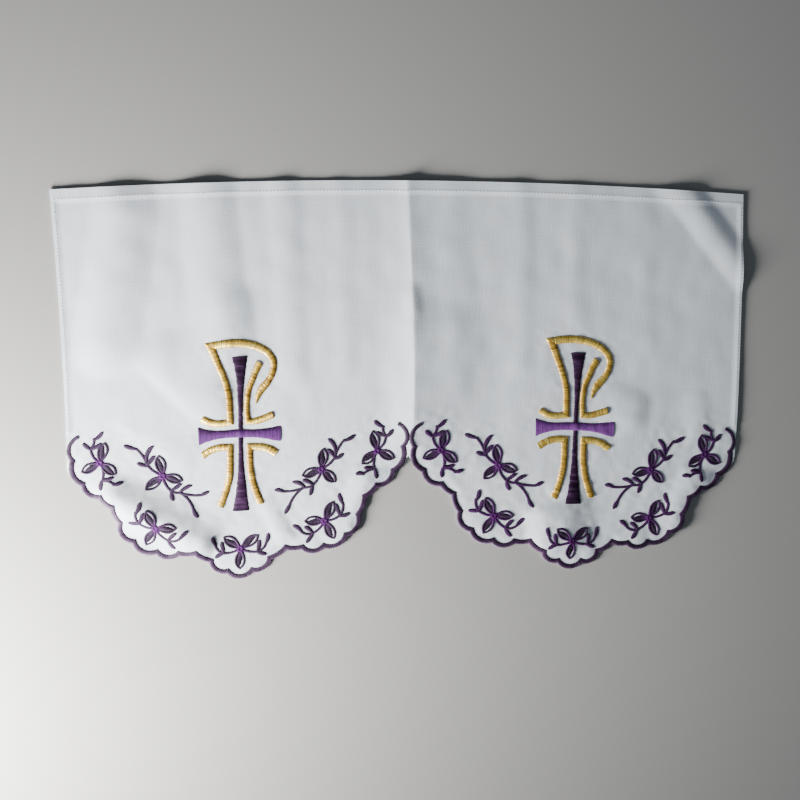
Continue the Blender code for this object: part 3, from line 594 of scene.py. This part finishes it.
def ridge(x, y, fold):
    """The height of one fold at a point of the flat cloth."""
    start = np.array((fold["x0"], fold["y0"])) * MM
    way = np.array((fold["x1"], fold["y1"])) * MM - start
    length = math.hypot(*way)
    way = way / length
    along = (x - start[0]) * way[0] + (y - start[1]) * way[1]
    aside = (y - start[1]) * way[0] - (x - start[0]) * way[1]
    past = np.maximum(np.maximum(-along, along - length), 0) / (fold["fade"] * MM)
    across = np.abs(aside) / (np.where(aside > 0, fold["left"], fold["right"]) * MM)
    fall = (1 + np.cos(math.pi * np.minimum(past, 1))) / 2
    shape = (1 + np.cos(math.pi * np.minimum(across, 1))) / 2
    return fold["height"] * MM * fall * shape


def fold_height(x, y):
    """How far the cloth's underside is above the surface, at points of the flat cloth."""
    aside = x - CREASE_START - CREASE_SLOPE * y
    reach = np.where(aside < 0, CREASE_REACH_LEFT, CREASE_REACH_RIGHT)
    crease = row(CREASE_COLUMNS, np.array(CREASE).T * MM)
    rise = np.interp(y, crease["up"], crease["height"])
    rise = rise * np.maximum(1 - np.abs(aside) / reach, 0) ** CREASE_POWER
    reach = np.where(aside < 0, PINCH_REACH_LEFT, PINCH_REACH_RIGHT)
    rise = rise + PINCH_HEIGHT * np.maximum(1 - np.abs(aside) / reach, 0) ** 2
    for values in [*FOLDS.values(), *CREASES.values()]:
        rise = rise + ridge(x, y, row(FOLD_COLUMNS, values))
    rise = np.maximum(rise - SETTLE, 0)
    return np.where(rise < SOFTEN, rise**2 / (2 * SOFTEN), rise - SOFTEN / 2)


def ripples(x, y, shortest, longest, seed, count=28):
    """A smooth uneven field of about unit height, made of plane waves in all directions."""
    waves = np.random.default_rng(seed)
    total = np.zeros_like(x)
    for _ in range(count):
        angle, phase = waves.uniform(0, 2 * math.pi, 2)
        length = waves.uniform(shortest, longest)
        total += np.cos(2 * math.pi * (x * math.cos(angle) + y * math.sin(angle)) / length + phase)
    return total / math.sqrt(count / 2)


# Paths of stitching on the flat cloth, each as points with the band's width there


def smooth_run(rows, steps):
    """The rows of a table in metres, with a smooth curve of steps from each row to the next."""
    values = np.array(rows, float) * MM
    values = np.vstack([2 * values[0] - values[1], values, 2 * values[-1] - values[-2]])
    t = (np.arange(steps) / steps)[:, None]
    out = []
    for p0, p1, p2, p3 in zip(values, values[1:], values[2:], values[3:]):
        bend = (2 * p0 - 5 * p1 + 4 * p2 - p3) * t**2 + (3 * p1 - p0 - 3 * p2 + p3) * t**3
        out.append((2 * p1 + (p2 - p0) * t + bend) / 2)
    return np.vstack([*out, values[-2:-1]])


def even(path, step):
    """The path, with its points a step apart."""
    lengths = np.concatenate([[0], np.cumsum(np.hypot(*np.diff(path[:, :2], axis=0).T))])
    places = np.linspace(0, lengths[-1], max(int(lengths[-1] / step), 2))
    return np.column_stack([np.interp(places, lengths, column) for column in path.T])


def normals(points):
    """Unit vectors to the left of a path, at its points."""
    ways = np.gradient(points, axis=0)
    ways /= np.linalg.norm(ways, axis=1)[:, None]
    return np.column_stack([-ways[:, 1], ways[:, 0]])


def arc_path(stroke, place, hand, width, steps=14):
    """A petal's middle line, a stem or a leaf, as a path with a width at each point."""
    start = np.array((stroke["x0"], stroke["y0"])) * MM
    chord = np.array((stroke["x1"], stroke["y1"])) * MM - start
    t = np.linspace(0, 1, steps)[:, None]
    points = start + chord * t + np.array((-chord[1], chord[0])) * stroke["bow"] * 4 * t * (1 - t)
    return np.column_stack([points * (hand, 1) + place, width(t[:, 0])])


def petal_share(t):
    """The share of a petal's width at t along it: widest past its middle, blunt at its tip."""
    return np.sin(np.pi * t**1.27) ** 0.64


def leaf_share(t):
    """The share of a leaf's width at t along it: it widens slowly and ends round."""
    widest, end = 0.65, 0.37
    slow = 0.5 + 0.5 * np.sin(np.pi * t / (2 * widest))
    return np.where(t < widest, slow, np.sqrt(np.maximum(1 - ((t - widest) / end) ** 2, 0)))


def petal_paths(stroke, place, hand):
    """The two satin outlines of a petal and the filled lens beside one of them, as paths."""
    middle = arc_path(stroke, place, hand, lambda t: PETAL_WIDTH * petal_share(t), PETAL_STEPS)
    points, half = middle[:, :2], middle[:, 2:] / 2
    left = normals(points)
    t = np.linspace(0, 1, len(points))
    line = PETAL_LINE * (0.8 + 0.2 * np.sin(np.pi * t))
    aside = np.maximum(half - line[:, None] / 2, 0)
    sides = [np.column_stack([points + left * aside * side, line]) for side in (1, -1)]
    bare = 1 if left[PETAL_STEPS // 2] @ BARE_WAY > 0 else -1
    along = np.clip((t - LENS_START) / LENS_LENGTH, 0, 1)
    lens_width = LENS_WIDTH * np.sin(np.pi * along) ** 0.6
    beside = np.maximum(aside[:, 0] - line / 2 - lens_width / 2, 0)[:, None]
    lens = np.column_stack([points - left * beside * bare, lens_width])
    return sides, lens[LENS_TIP:-LENS_TIP]


def every_sprig():
    """Each sprig as (scallop, kind, hand, place on the flat cloth, hand's sign)."""
    for side, sign in (("left", -1), ("right", 1)):
        for kind, (across, up) in SPRIG_PLACES.items():
            hands = (("east", 1), ("west", -1)) if across else (("", 1),)
            for hand, way in hands:
                place = np.array((sign * PITCH / 2 + way * across * MM, up * MM))
                name = f"{side}_sprig_{kind}" + (f"_{hand}" if hand else "")
                yield name, kind, place, way


def stitched_points():
    """Points along all the stitching, for the puckers round it."""
    points = []
    hem = hem_line(EDGE_WIDTH * 0.2, [HEM_STEPS] * LOBE_COUNT)
    for sign in (-1, 1):
        points.append(hem + (sign * PITCH / 2, 0))
        place = np.array((sign * PITCH / 2 + CROSS_PLACE[0], CROSS_PLACE[1]))
        for runs in GOLD_BANDS.values():
            points += [even(smooth_run(run, RUN_STEPS), FEEL_STEP)[:, :2] + place for run in runs]
        for runs in BAR_BANDS.values():
            for run in runs:
                path = even(smooth_run(run, RUN_STEPS), FEEL_STEP)
                for share in (-0.4, 0, 0.4):
                    points.append(path[:, :2] + normals(path[:, :2]) * path[:, 2:] * share + place)
    for _, kind, place, way in every_sprig():
        for values in SPRIGS[kind]:
            stroke = row(SPRIG_COLUMNS, values)
            path = even(arc_path(stroke, place, way, lambda t: t), FEEL_STEP)
            points.append(path[:, :2])
    return np.vstack(points)


def distances(points, x, y):
    """How far each place of a map is from the nearest of the points."""
    tree = kdtree.KDTree(len(points))
    for i, point in enumerate(points):
        tree.insert((*point, 0), i)
    tree.balance()
    found = [tree.find((a, b, 0))[2] for a, b in zip(x.ravel(), y.ravel())]
    return np.array(found).reshape(x.shape)


# The relief of the cloth's face, as a map over the flat cloth

map_x = np.arange(-PITCH - MAP_MARGIN, PITCH + MAP_MARGIN, MAP_STEP)
map_y = np.arange(MAP_BOTTOM, TOP + MAP_MARGIN, MAP_STEP)


def relief_map():
    """The height of the cloth's face at the places of the map: folds, swelling, puckers, hems."""
    x, y = np.meshgrid(map_x, map_y)
    height = fold_height(x, y)
    cut = EDGE_WIDTH + RIM
    line = hem_line(cut, [HEM_STEPS] * LOBE_COUNT)
    edge = np.vstack([line + (sign * PITCH / 2, 0) for sign in (-1, 1)])
    off_hem = np.maximum(distances(edge[edge[:, 1] < NOTCH], x, y) - cut, 0) / PUFF_REACH
    off_stitch = distances(stitched_points(), x, y)
    height += PUFF * off_hem * np.exp(1 - off_hem)
    near = np.exp(-((off_stitch / PUCKER_REACH) ** 2))
    for name, values in RIPPLES.items():
        kind = row(RIPPLE_COLUMNS, values)
        uneven = kind["height"] * ripples(x, y, kind["shortest"], kind["longest"], kind["seed"])
        height += near * uneven if name == "pucker" else uneven
    height -= TUCK * np.exp(-((off_stitch / TUCK_REACH) ** 2))
    turned = (np.abs(x) > PITCH - SIDE_HEM) & (y > SIDE_HEM_END) | (y > TOP - TOP_HEM)
    return np.maximum(height, SHEET - FACE + LEAST_HEIGHT) + FACE + HEM_RISE * turned


relief = relief_map()


def face_height(x, y):
    """The height of the cloth's face at points of the flat cloth."""
    i = np.clip((x - map_x[0]) / MAP_STEP, 0, len(map_x) - 1.001)
    j = np.clip((y - map_y[0]) / MAP_STEP, 0, len(map_y) - 1.001)
    i0, j0 = i.astype(int), j.astype(int)
    a, b = i - i0, j - j0
    low = relief[j0, i0] * (1 - a) + relief[j0, i0 + 1] * a
    high = relief[j0 + 1, i0] * (1 - a) + relief[j0 + 1, i0 + 1] * a
    return low * (1 - b) + high * b


# Meshes


def mesh_of(name, places, faces, tone=None):
    """A smooth mesh from arrays of points and of faces with the same number of corners."""
    mesh = bpy.data.meshes.new(name)
    mesh.vertices.add(len(places))
    mesh.vertices.foreach_set("co", np.ascontiguousarray(places, np.float32).ravel())
    mesh.loops.add(faces.size)
    mesh.loops.foreach_set("vertex_index", np.ascontiguousarray(faces, np.int32).ravel())
    mesh.polygons.add(len(faces))
    starts = np.arange(0, faces.size, faces.shape[1], dtype=np.int32)
    mesh.polygons.foreach_set("loop_start", starts)
    mesh.update(calc_edges=True)
    mesh.shade_smooth()
    if tone is not None:
        values = mesh.attributes.new("tone", "FLOAT", "POINT")
        values.data.foreach_set("value", np.ascontiguousarray(tone, np.float32).ravel())
    return mesh


def add_piece(name, mesh, look, slot, *nodes):
    piece = bpy.data.objects.new(name, mesh)
    bpy.context.scene.collection.objects.link(piece)
    mesh.materials.append(look)
    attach(piece, "root")
    if nodes:
        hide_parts(*nodes)
    return piece


def cloth_sheet(look):
    """The cloth itself: its face is meshed to the outline, lifted to the relief and thickened."""
    outline = cloth_outline(SHEET_STEPS)
    sides = []
    for p, q in zip(outline, np.roll(outline, -1, axis=0)):
        count = max(int(np.hypot(*(q - p)) / MESH_STEP), 1)
        sides.append(p + (q - p) * (np.arange(count) / count)[:, None])
    rim = np.vstack(sides)
    rows = np.arange(MESH_BOTTOM, TOP, MESH_STEP * ROW_SPACING)
    x, y = np.meshgrid(np.arange(-PITCH, PITCH, MESH_STEP), rows)
    x[::2] += MESH_STEP / 2
    x += rng.uniform(-POINT_SHIFT, POINT_SHIFT, x.shape) * MESH_STEP
    inner = np.column_stack([x.ravel(), y.ravel()])
    up = np.arange(NOTCH + MESH_STEP, TOP - MESH_STEP, MESH_STEP * CREST_SPACING)
    ridge_x = CREASE_START + CREASE_SLOPE * up
    crest = np.vstack([np.column_stack([ridge_x + aside, up]) for aside in CREST_ROWS])
    off_rows = distances(np.vstack([rim, crest]), inner[:, 0], inner[:, 1])
    inner = inner[off_rows > MESH_STEP * CLEAR]
    points = [Vector(p) for p in np.vstack([rim, crest, inner])]
    loop = list(range(len(rim)))
    flat, _, triangles, *_ = delaunay_2d_cdt(points, [], [loop], 1, 1e-6)
    used, triangles = np.unique(np.array(triangles), return_inverse=True)
    flat = np.array([tuple(flat[k]) for k in used])
    across, up = laid(*flat.T)
    places = np.column_stack([across, up, face_height(*flat.T)])
    mesh = mesh_of("cloth_sheet", places, triangles.reshape(-1, 3))
    uses = np.zeros(len(mesh.edges), int)
    edges = np.empty(len(mesh.loops), np.int32)
    mesh.loops.foreach_get("edge_index", edges)
    np.add.at(uses, edges, 1)
    sharp = mesh.attributes.new("sharp_edge", "BOOLEAN", "EDGE")
    sharp.data.foreach_set("value", uses == 1)
    piece = add_piece("cloth_sheet", mesh, look, "cloth", "cloth")
    thick = piece.modifiers.new("thickness", "SOLIDIFY")
    thick.thickness = SHEET
    thick.offset = -1.0
    x, y = outline.T


def stitch_sizes(kind):
    sizes = row(THREAD_COLUMNS, THREADS[kind])
    return sizes["pitch"], sizes["crown"], sizes["slant"], sizes["jag"]


def shade(table, along):
    """A shade table's tone at places along a stitch, from 0 to 1."""
    columns = row(SHADE_COLUMNS, zip(*table))
    return np.interp(along, columns["along"], columns["tone"])


class Threads:
    """Stitches from points a to points b, gathered for one piece."""

    def __init__(self, samples=6):
        self.t = (1 - np.cos(np.pi * np.linspace(0, 1, samples))) / 2
        self.parts = []

    def add(self, a, b, width, crown, tone, lift=0.0, span=None, vary=0.16, group=1):
        """
        Adds stitches of that width, crowned to that height over the cloth, with a tone from 0 to 1.
        span is the share of a whole stitch that each one is, and its tone varies in groups.
        """
        count = len(a)
        if not count:
            return
        t = self.t[None, :, None]
        middle = a[:, None] * (1 - t) + b[:, None] * t
        way = b - a
        way = way / np.maximum(np.hypot(*way.T), 1e-6)[:, None]
        aside = np.column_stack([-way[:, 1], way[:, 0]])[:, None] * (width / 2)
        start, end = np.zeros((2, count)) + [[0], [1]] if span is None else span
        along = start[:, None] + (end - start)[:, None] * self.t[None, :]
        dome = np.maximum(1 - np.abs(2 * along - 1) ** 2.4, 0) ** 0.55
        crown = np.broadcast_to(crown, (count,)) * rng.uniform(0.90, 1.10, count)
        lift = np.broadcast_to(lift, (count,))
        rise = crown[:, None] * dome + lift[:, None] + RAISE
        rows = []
        for offset, drop in ((-1, 0.34), (0, 0.0), (1, 0.34)):
            place = middle + aside * offset
            x, y = place[..., 0], place[..., 1]
            z = face_height(middle[..., 0], middle[..., 1]) + rise - drop * width
            rows.append(np.stack([*laid(x, y), z], axis=-1))
        tone = np.broadcast_to(tone, (count, len(self.t)))
        uneven = np.repeat(rng.uniform(-0.5, 0.5, count // group + 1), group)[:count, None]
        tone = tone + (uneven + rng.uniform(-0.25, 0.25, (count, 1))) * vary
        tones = np.repeat(tone[:, None], 3, axis=1)
        self.parts.append((np.stack(rows, axis=1), tones))

    def mesh(self, name):
        places = np.concatenate([part[0] for part in self.parts])
        tones = np.concatenate([part[1] for part in self.parts])
        count, rows, samples, _ = places.shape
        index = np.arange(count * rows * samples).reshape(count, rows, samples)
        corners = [index[:, :-1, :-1], index[:, :-1, 1:], index[:, 1:, 1:], index[:, 1:, :-1]]
        quads = np.stack(corners, axis=-1)
        return mesh_of(name, places.reshape(-1, 3), quads.reshape(-1, 4), tones)

    def band(self, path, kind, tone, clip=(), lift=None, glint=0.0, **more):
        """
        Stitches of a kind in THREADS across a path, cut off at the clip lines.
        glint is how much lighter they are where the path runs across the cloth than up it.
        """
        pitch, crown, slant, jag = stitch_sizes(kind)
        path = even(path, pitch)
        points, width = path[:, :2], path[:, 2]
        left = normals(points)
        ahead = np.column_stack([left[:, 1], -left[:, 0]])
        reach = (left + ahead * slant) * (width / 2)[:, None]
        uneven = rng.uniform(-1, 1, (2, len(points), 1)) * jag
        a = points + reach + left * uneven[0]
        b = points - reach - left * uneven[1]
        whole = b - a
        tone = tone(points)[:, None] if callable(tone) else tone
        tone = np.broadcast_to(tone, (len(points), len(self.t)))
        tone = tone + glint * (left[:, 1:] ** 2 - 0.5)
        start, end = np.zeros(len(points)), np.ones(len(points))
        for corner, inward in clip:
            close = np.hypot(*(points - corner).T) < 2.5 * width.max()
            da, db = ((place - corner) @ inward + 1.0 * ~close for place in (a, b))
            share = np.clip(da / np.where(da == db, 1, da - db), 0, 1)
            start = np.where(da < 0, np.maximum(start, share), start)
            end = np.where(db < 0, np.minimum(end, share), end)
            end = np.where((da < 0) & (db < 0), start, end)
        keep = (end - start) * np.hypot(*whole.T) > LEAST_STITCH
        crown = crown * np.minimum(1, np.hypot(*whole.T) / 0.0028 + 0.30)
        raised = 0.0 if lift is None else lift(points)[keep]
        a, b = a + whole * start[:, None], a + whole * end[:, None]
        span = (start[keep], end[keep])
        width = pitch * THREAD_SHARE
        self.add(a[keep], b[keep], width, crown[keep], tone[keep], raised, span, **more)


# Materials


def add_node(tree, kind, **values):
    """A shader node with its settings and unlinked inputs. Linked inputs are given as sockets."""
    node = tree.nodes.new(kind)
    for name, value in values.items():
        if hasattr(node, name):
            setattr(node, name, value)
            continue
        numbered = name[0] == "i" and name[1:].isdigit()
        socket = node.inputs[int(name[1:]) if numbered else name]
        if isinstance(value, bpy.types.NodeSocket):
            tree.links.new(value, socket)
        else:
            socket.default_value = value
    return node


def new_look(name, roughness, specular=0.5, metallic=0.0, sheen=0.0):
    look = bpy.data.materials.new(name)
    look.use_nodes = True
    tree = look.node_tree
    shader = tree.nodes["Principled BSDF"]
    shader.inputs["Roughness"].default_value = roughness
    shader.inputs["Specular IOR Level"].default_value = specular
    shader.inputs["Metallic"].default_value = metallic
    shader.inputs["Sheen Weight"].default_value = sheen
    return look, tree, shader


def add_math(tree, operation, *terms):
    inputs = {f"i{k}": term for k, term in enumerate(terms)}
    return add_node(tree, "ShaderNodeMath", operation=operation, **inputs).outputs[0]


def add_noise(tree, place, **values):
    return add_node(tree, "ShaderNodeTexNoise", Vector=place, **values).outputs["Fac"]


def cloth_look():
    """Fine white plain weave: uneven yarns both ways, slubs, and a faint cool tint in places."""
    look, tree, shader = new_look("white_cloth", 0.50, 0.45, sheen=0.25)
    place = add_node(tree, "ShaderNodeNewGeometry").outputs["Position"]

    def stretched(scale, **values):
        mapped = add_node(tree, "ShaderNodeMapping", Vector=place, Scale=scale)
        return add_noise(tree, mapped.outputs["Vector"], **values)

    warp = stretched((1900, 90, 1), Scale=1.0, Detail=1.0, Roughness=0.4)
    weft = stretched((90, 1900, 1), Scale=1.0, Detail=1.0, Roughness=0.4)
    yarns = add_math(tree, "ADD", warp, weft)
    slub_up = stretched((520, 34, 1), Scale=1.0, Detail=2.0, Roughness=0.5)
    slub_across = stretched((34, 520, 1), Scale=1.0, Detail=2.0, Roughness=0.5)
    slubs = add_math(tree, "ADD", slub_up, slub_across)
    both = add_math(tree, "MULTIPLY_ADD", slubs, 0.7, yarns)
    bump = add_node(tree, "ShaderNodeBump", Strength=0.55, Distance=0.00012, Height=both)
    tree.links.new(bump.outputs["Normal"], shader.inputs["Normal"])
    cloud = add_noise(tree, place, Scale=26.0, Detail=4.0, Roughness=0.55)
    mixed = add_math(tree, "MULTIPLY_ADD", slubs, 0.35, cloud)
    ramp = add_node(tree, "ShaderNodeValToRGB", Fac=mixed)
    ramp.color_ramp.elements[0].position = 0.55
    ramp.color_ramp.elements[0].color = (0.700, 0.752, 0.808, 1)
    ramp.color_ramp.elements[1].position = 1.05
    ramp.color_ramp.elements[1].color = (0.770, 0.808, 0.852, 1)
    tree.links.new(ramp.outputs["Color"], shader.inputs["Base Color"])
    return look


def thread_look(name):
    """Satin thread: its colour runs from dark to light by the stitch's tone, with a twist."""
    kind = row(LOOK_COLUMNS, THREAD_LOOKS[name])
    look, tree, shader = new_look(name, kind["roughness"], kind["specular"], kind["metallic"])
    # the tone holds painted light, shade and sheen as well as random unevenness
    tone = add_node(tree, "ShaderNodeAttribute", attribute_name="tone").outputs["Fac"]
    place = add_node(tree, "ShaderNodeNewGeometry").outputs["Position"]
    patch = add_noise(tree, place, Scale=240.0, Detail=3.0)
    shift = add_math(tree, "MULTIPLY_ADD", patch, 0.5, -0.25)
    value = add_math(tree, "ADD", tone, shift)
    ramp = add_node(tree, "ShaderNodeValToRGB", Fac=value)
    ramp.color_ramp.elements[0].color = (*kind["dark"], 1)
    ramp.color_ramp.elements[1].color = (*kind["light"], 1)
    ramp.color_ramp.elements.new(0.5).color = (*kind["mid"], 1)
    tree.links.new(ramp.outputs["Color"], shader.inputs["Base Color"])
    twist = add_noise(tree, place, Scale=3200.0, Detail=1.0)
    bump = add_node(tree, "ShaderNodeBump", Strength=0.5, Distance=0.00008, Height=twist)
    tree.links.new(bump.outputs["Normal"], shader.inputs["Normal"])
    return look


# The stitching


def edging_threads(sign):
    """The satin edging: dark stitches with painted light inside and a painted lilac sheen outside.
    """
    threads = Threads(7)
    pitch, crown, _, jag = stitch_sizes("edging")
    counts = [int((q - p).length * ARC_SHARE / pitch) for p, q, _, _ in hem_lobes()]
    place = (sign * PITCH / 2, 0)
    inner = hem_line(-OVERHANG, counts) + place
    outer = hem_line(EDGE_WIDTH + RIM + OVERHANG, counts) + place
    uneven = rng.uniform(-1, 1, (2, len(inner), 1)) * jag
    way = (outer - inner) / np.linalg.norm(outer - inner, axis=1)[:, None]
    # painted light at the inner end of each stitch and a lilac painted sheen at its outer end
    tone = np.tile(shade(EDGING_PAINTED_LIGHT, threads.t), (len(inner), 1))
    # less of the painted sheen in the curls
    for curl in (slice(0, sum(counts[:2])), slice(-sum(counts[-2:]), None)):
        tone[curl] = np.minimum(tone[curl], CURL_TONE)
    threads.add(inner + way * uneven[0], outer + way * uneven[1], pitch * EDGING_SHARE, crown, tone)
    return threads


def corner_clips(lines, k):
    """The mitre lines that end run k of a band, as (corner, unit vector into the run)."""
    clips = []
    for other, end in ((k - 1, 0), (k + 1, -1)):
        if not 0 <= other < len(lines):
            continue
        here, there = lines[k][:, :2], lines[other][:, :2]
        corner = here[end]
        into = here[1] - corner if end == 0 else here[-2] - corner
        beyond = there[-2] - corner if end == 0 else there[1] - corner
        inward = into / np.hypot(*into) - beyond / np.hypot(*beyond)
        clips.append((corner, inward / np.hypot(*inward)))
    return clips


def run_past(line, ends):
    """A run, with the ends named in ends, 0 and -1, lengthened straight by over its own width."""

    def past(here, before):
        way = here[:2] - before[:2]
        return [*(here[:2] + way / np.hypot(*way) * here[2] * 1.2), here[2]]

    if 0 in ends:
        line = np.vstack([past(line[0], line[1]), line])
    if -1 in ends:
        line = np.vstack([line, past(line[-1], line[-2])])
    return line


def gold_threads(runs, place, tone):
    """A gold stroke's stitching, mitred where one run meets the next."""
    threads = Threads()
    lines = [smooth_run(run, THREAD_STEPS) for run in runs]
    # painted shade at both edges of each band, on top of the side's tone
    tones = tone + shade(GOLD_PAINTED_SHADE, threads.t)
    for line in lines:
        line[:, :2] += place
    for k, line in enumerate(lines):
        clips = corner_clips(lines, k)
        ends = [end for other, end in ((k - 1, 0), (k + 1, -1)) if 0 <= other < len(lines)]
        line = run_past(line, ends)
        threads.band(line, "gold", tones, clip=clips, vary=0.7, glint=GOLD_GLINT)
    return threads


def bar_threads(name, runs, place, tone):
    """The stitching of an upright, or of the crossbar that bridges it."""
    threads = Threads(7)
    path = smooth_run(runs[0], THREAD_STEPS)
    path[:, :2] += place

    def over(points):
        return BRIDGE * np.exp(-(((points[:, 0] - place[0]) / BRIDGE_REACH) ** 2))

    if name == "upright":
        threads.band(path, name, tone, vary=0.45, group=3)
    else:
        # painted shade along the crossbar's upper edge
        threads.band(path, name, tone + shade(CROSSBAR_PAINTED_SHADE, threads.t), lift=over)
    return threads


def sprig_threads(kind, place, hand, tone):
    """A sprig's stitching: dark lenses in purple outlines, with a painted sheen at the knot."""
    threads = Threads(5)

    def with_knot_sheen(shift):
        def at(points):
            off_knot = np.hypot(*(points - place).T)
            # painted sheen round the knot
            return tone + shift + 0.5 * np.exp(-((off_knot / KNOT_SHEEN_REACH) ** 2))

        return at

    for values in SPRIGS[kind]:
        stroke = row(SPRIG_COLUMNS, values)
        if stroke["kind"] == "petal":
            sides, lens = petal_paths(stroke, place, hand)
            for side in sides:
                threads.band(side, "petal side", with_knot_sheen(0.0))
            threads.band(lens, "petal lens", with_knot_sheen(LENS_TONE))
        elif stroke["kind"] == "stem":
            path = arc_path(stroke, place, hand, lambda t: np.full_like(t, STEM_WIDTH))
            threads.band(path, "stem", with_knot_sheen(STEM_TONE))
        else:
            path = arc_path(stroke, place, hand, lambda t: LEAF_WIDTH * leaf_share(t))
            threads.band(path, "leaf", with_knot_sheen(STEM_TONE))
    turns = np.linspace(0, 2 * np.pi, KNOT_SPOKES + 1)[:-1]
    turns = turns + rng.uniform(-0.08, 0.08, KNOT_SPOKES)
    ends = np.column_stack([np.cos(turns), np.sin(turns)]) * KNOT_RADIUS
    starts = place + ends * 0.08
    # the knot's spokes, set light as a painted sheen
    threads.add(starts, place + ends, KNOT_STITCH_WIDTH, KNOT_HEIGHT, KNOT_TONE, KNOT_LIFT)
    return threads


def hem_stitches():
    """White running stitches that hold the turned hems."""
    threads = Threads(5)
    looks = (HEM_STITCH_WIDTH, HEM_STITCH_HEIGHT, HEM_TONE)
    x = np.arange(-PITCH + 0.002, PITCH - 0.003, HEM_PITCH)
    starts = np.column_stack([x, np.full_like(x, TOP - TOP_HEM + 0.0016)])
    threads.add(starts, starts + (HEM_STITCH, 0), *looks)
    y = np.arange(SIDE_HEM_END + 0.001, TOP - TOP_HEM - 0.002, HEM_PITCH)
    for side in (-1, 1):
        starts = np.column_stack([np.full_like(y, side * (PITCH - SIDE_HEM + 0.0012)), y])
        threads.add(starts, starts + (0, HEM_STITCH), *looks)
    return threads


def floor():
    mesh = bpy.data.meshes.new("floor")
    turns = ((-1, -1), (1, -1), (1, 1), (-1, 1))
    corners = [(x * FLOOR_REACH, y * FLOOR_REACH, 0) for x, y in turns]
    mesh.from_pydata(corners, [], [(0, 1, 2, 3)])
    piece = bpy.data.objects.new("floor", mesh)
    bpy.context.scene.collection.objects.link(piece)
    look, _, shader = new_look("floor", 0.9, 0.2)
    shader.inputs["Base Color"].default_value = FLOOR_COLOUR
    mesh.materials.append(look)


def key_light():
    data = bpy.data.lights.new("key", "AREA")
    data.shape = "DISK"
    data.size = LIGHT_SIZE
    data.energy = LIGHT_WATTS
    data.color = LIGHT_COLOUR
    lamp = bpy.data.objects.new("key", data)
    lamp.location = LIGHT_PLACE
    way = Vector(LIGHT_TARGET) - Vector(LIGHT_PLACE)
    lamp.rotation_euler = way.to_track_quat("-Z", "Y").to_euler()
    bpy.context.scene.collection.objects.link(lamp)


def studio():
    """Soft light from the lower left, a pale room, and the camera at the photograph's angle."""
    key_light()
    world = bpy.data.worlds.new("room")
    world.use_nodes = True
    back = world.node_tree.nodes["Background"]
    back.inputs["Color"].default_value = ROOM_COLOUR
    back.inputs["Strength"].default_value = ROOM_STRENGTH
    bpy.context.scene.world = world
    data = bpy.data.cameras.new("camera")
    data.lens = CAMERA_LENS
    data.sensor_width = CAMERA_SENSOR
    camera = bpy.data.objects.new("camera", data)
    across, up, height = CAMERA_PLACE
    camera.location = (across - MIDDLE[0], up - MIDDLE[1], height)
    camera.rotation_mode = "ZXY"
    camera.rotation_euler = [math.radians(turn) for turn in CAMERA_TURNS]
    bpy.context.scene.collection.objects.link(camera)
    bpy.context.scene.camera = camera


def main():
    looks = {
        "cloth": cloth_look(),
        "edging": thread_look("edging_thread"),
        "gold": thread_look("gold_thread"),
        "crossbar": thread_look("bright_purple_thread"),
        "upright": thread_look("dark_purple_thread"),
        "sprig": thread_look("plum_thread"),
    }
    cloth_sheet(looks["cloth"])
    white = thread_look("hem_thread")
    add_piece("hem_stitches", hem_stitches().mesh("hem_stitches"), white, "cloth")
    # each side's tones carry painted light: the right scallop is set lighter
    for side, sign in (("left", -1), ("right", 1)):
        name = f"edging_{side}"
        threads = edging_threads(sign)
        add_piece(f"{name}_threads", threads.mesh(name), looks["edging"], "edging", name)
        place = np.array((sign * PITCH / 2 + CROSS_PLACE[0], CROSS_PLACE[1]))
        for band, runs in GOLD_BANDS.items():
            name = f"{side}_{band}"
            threads = gold_threads(runs, place, GOLD_TONES[side])
            add_piece(f"{name}_threads", threads.mesh(name), looks["gold"], "gold", name)
        for band, runs in BAR_BANDS.items():
            name = f"{side}_{band}"
            threads = bar_threads(band, runs, place, BAR_TONES[side][band])
            add_piece(f"{name}_threads", threads.mesh(name), looks[band], band, name)
    for name, kind, place, hand in every_sprig():
        threads = sprig_threads(kind, place, hand, SPRIG_TONES[name.split("_")[0]])
        add_piece(f"{name}_threads", threads.mesh(name), looks["sprig"], "sprig", name)
    floor()
    studio()


main()
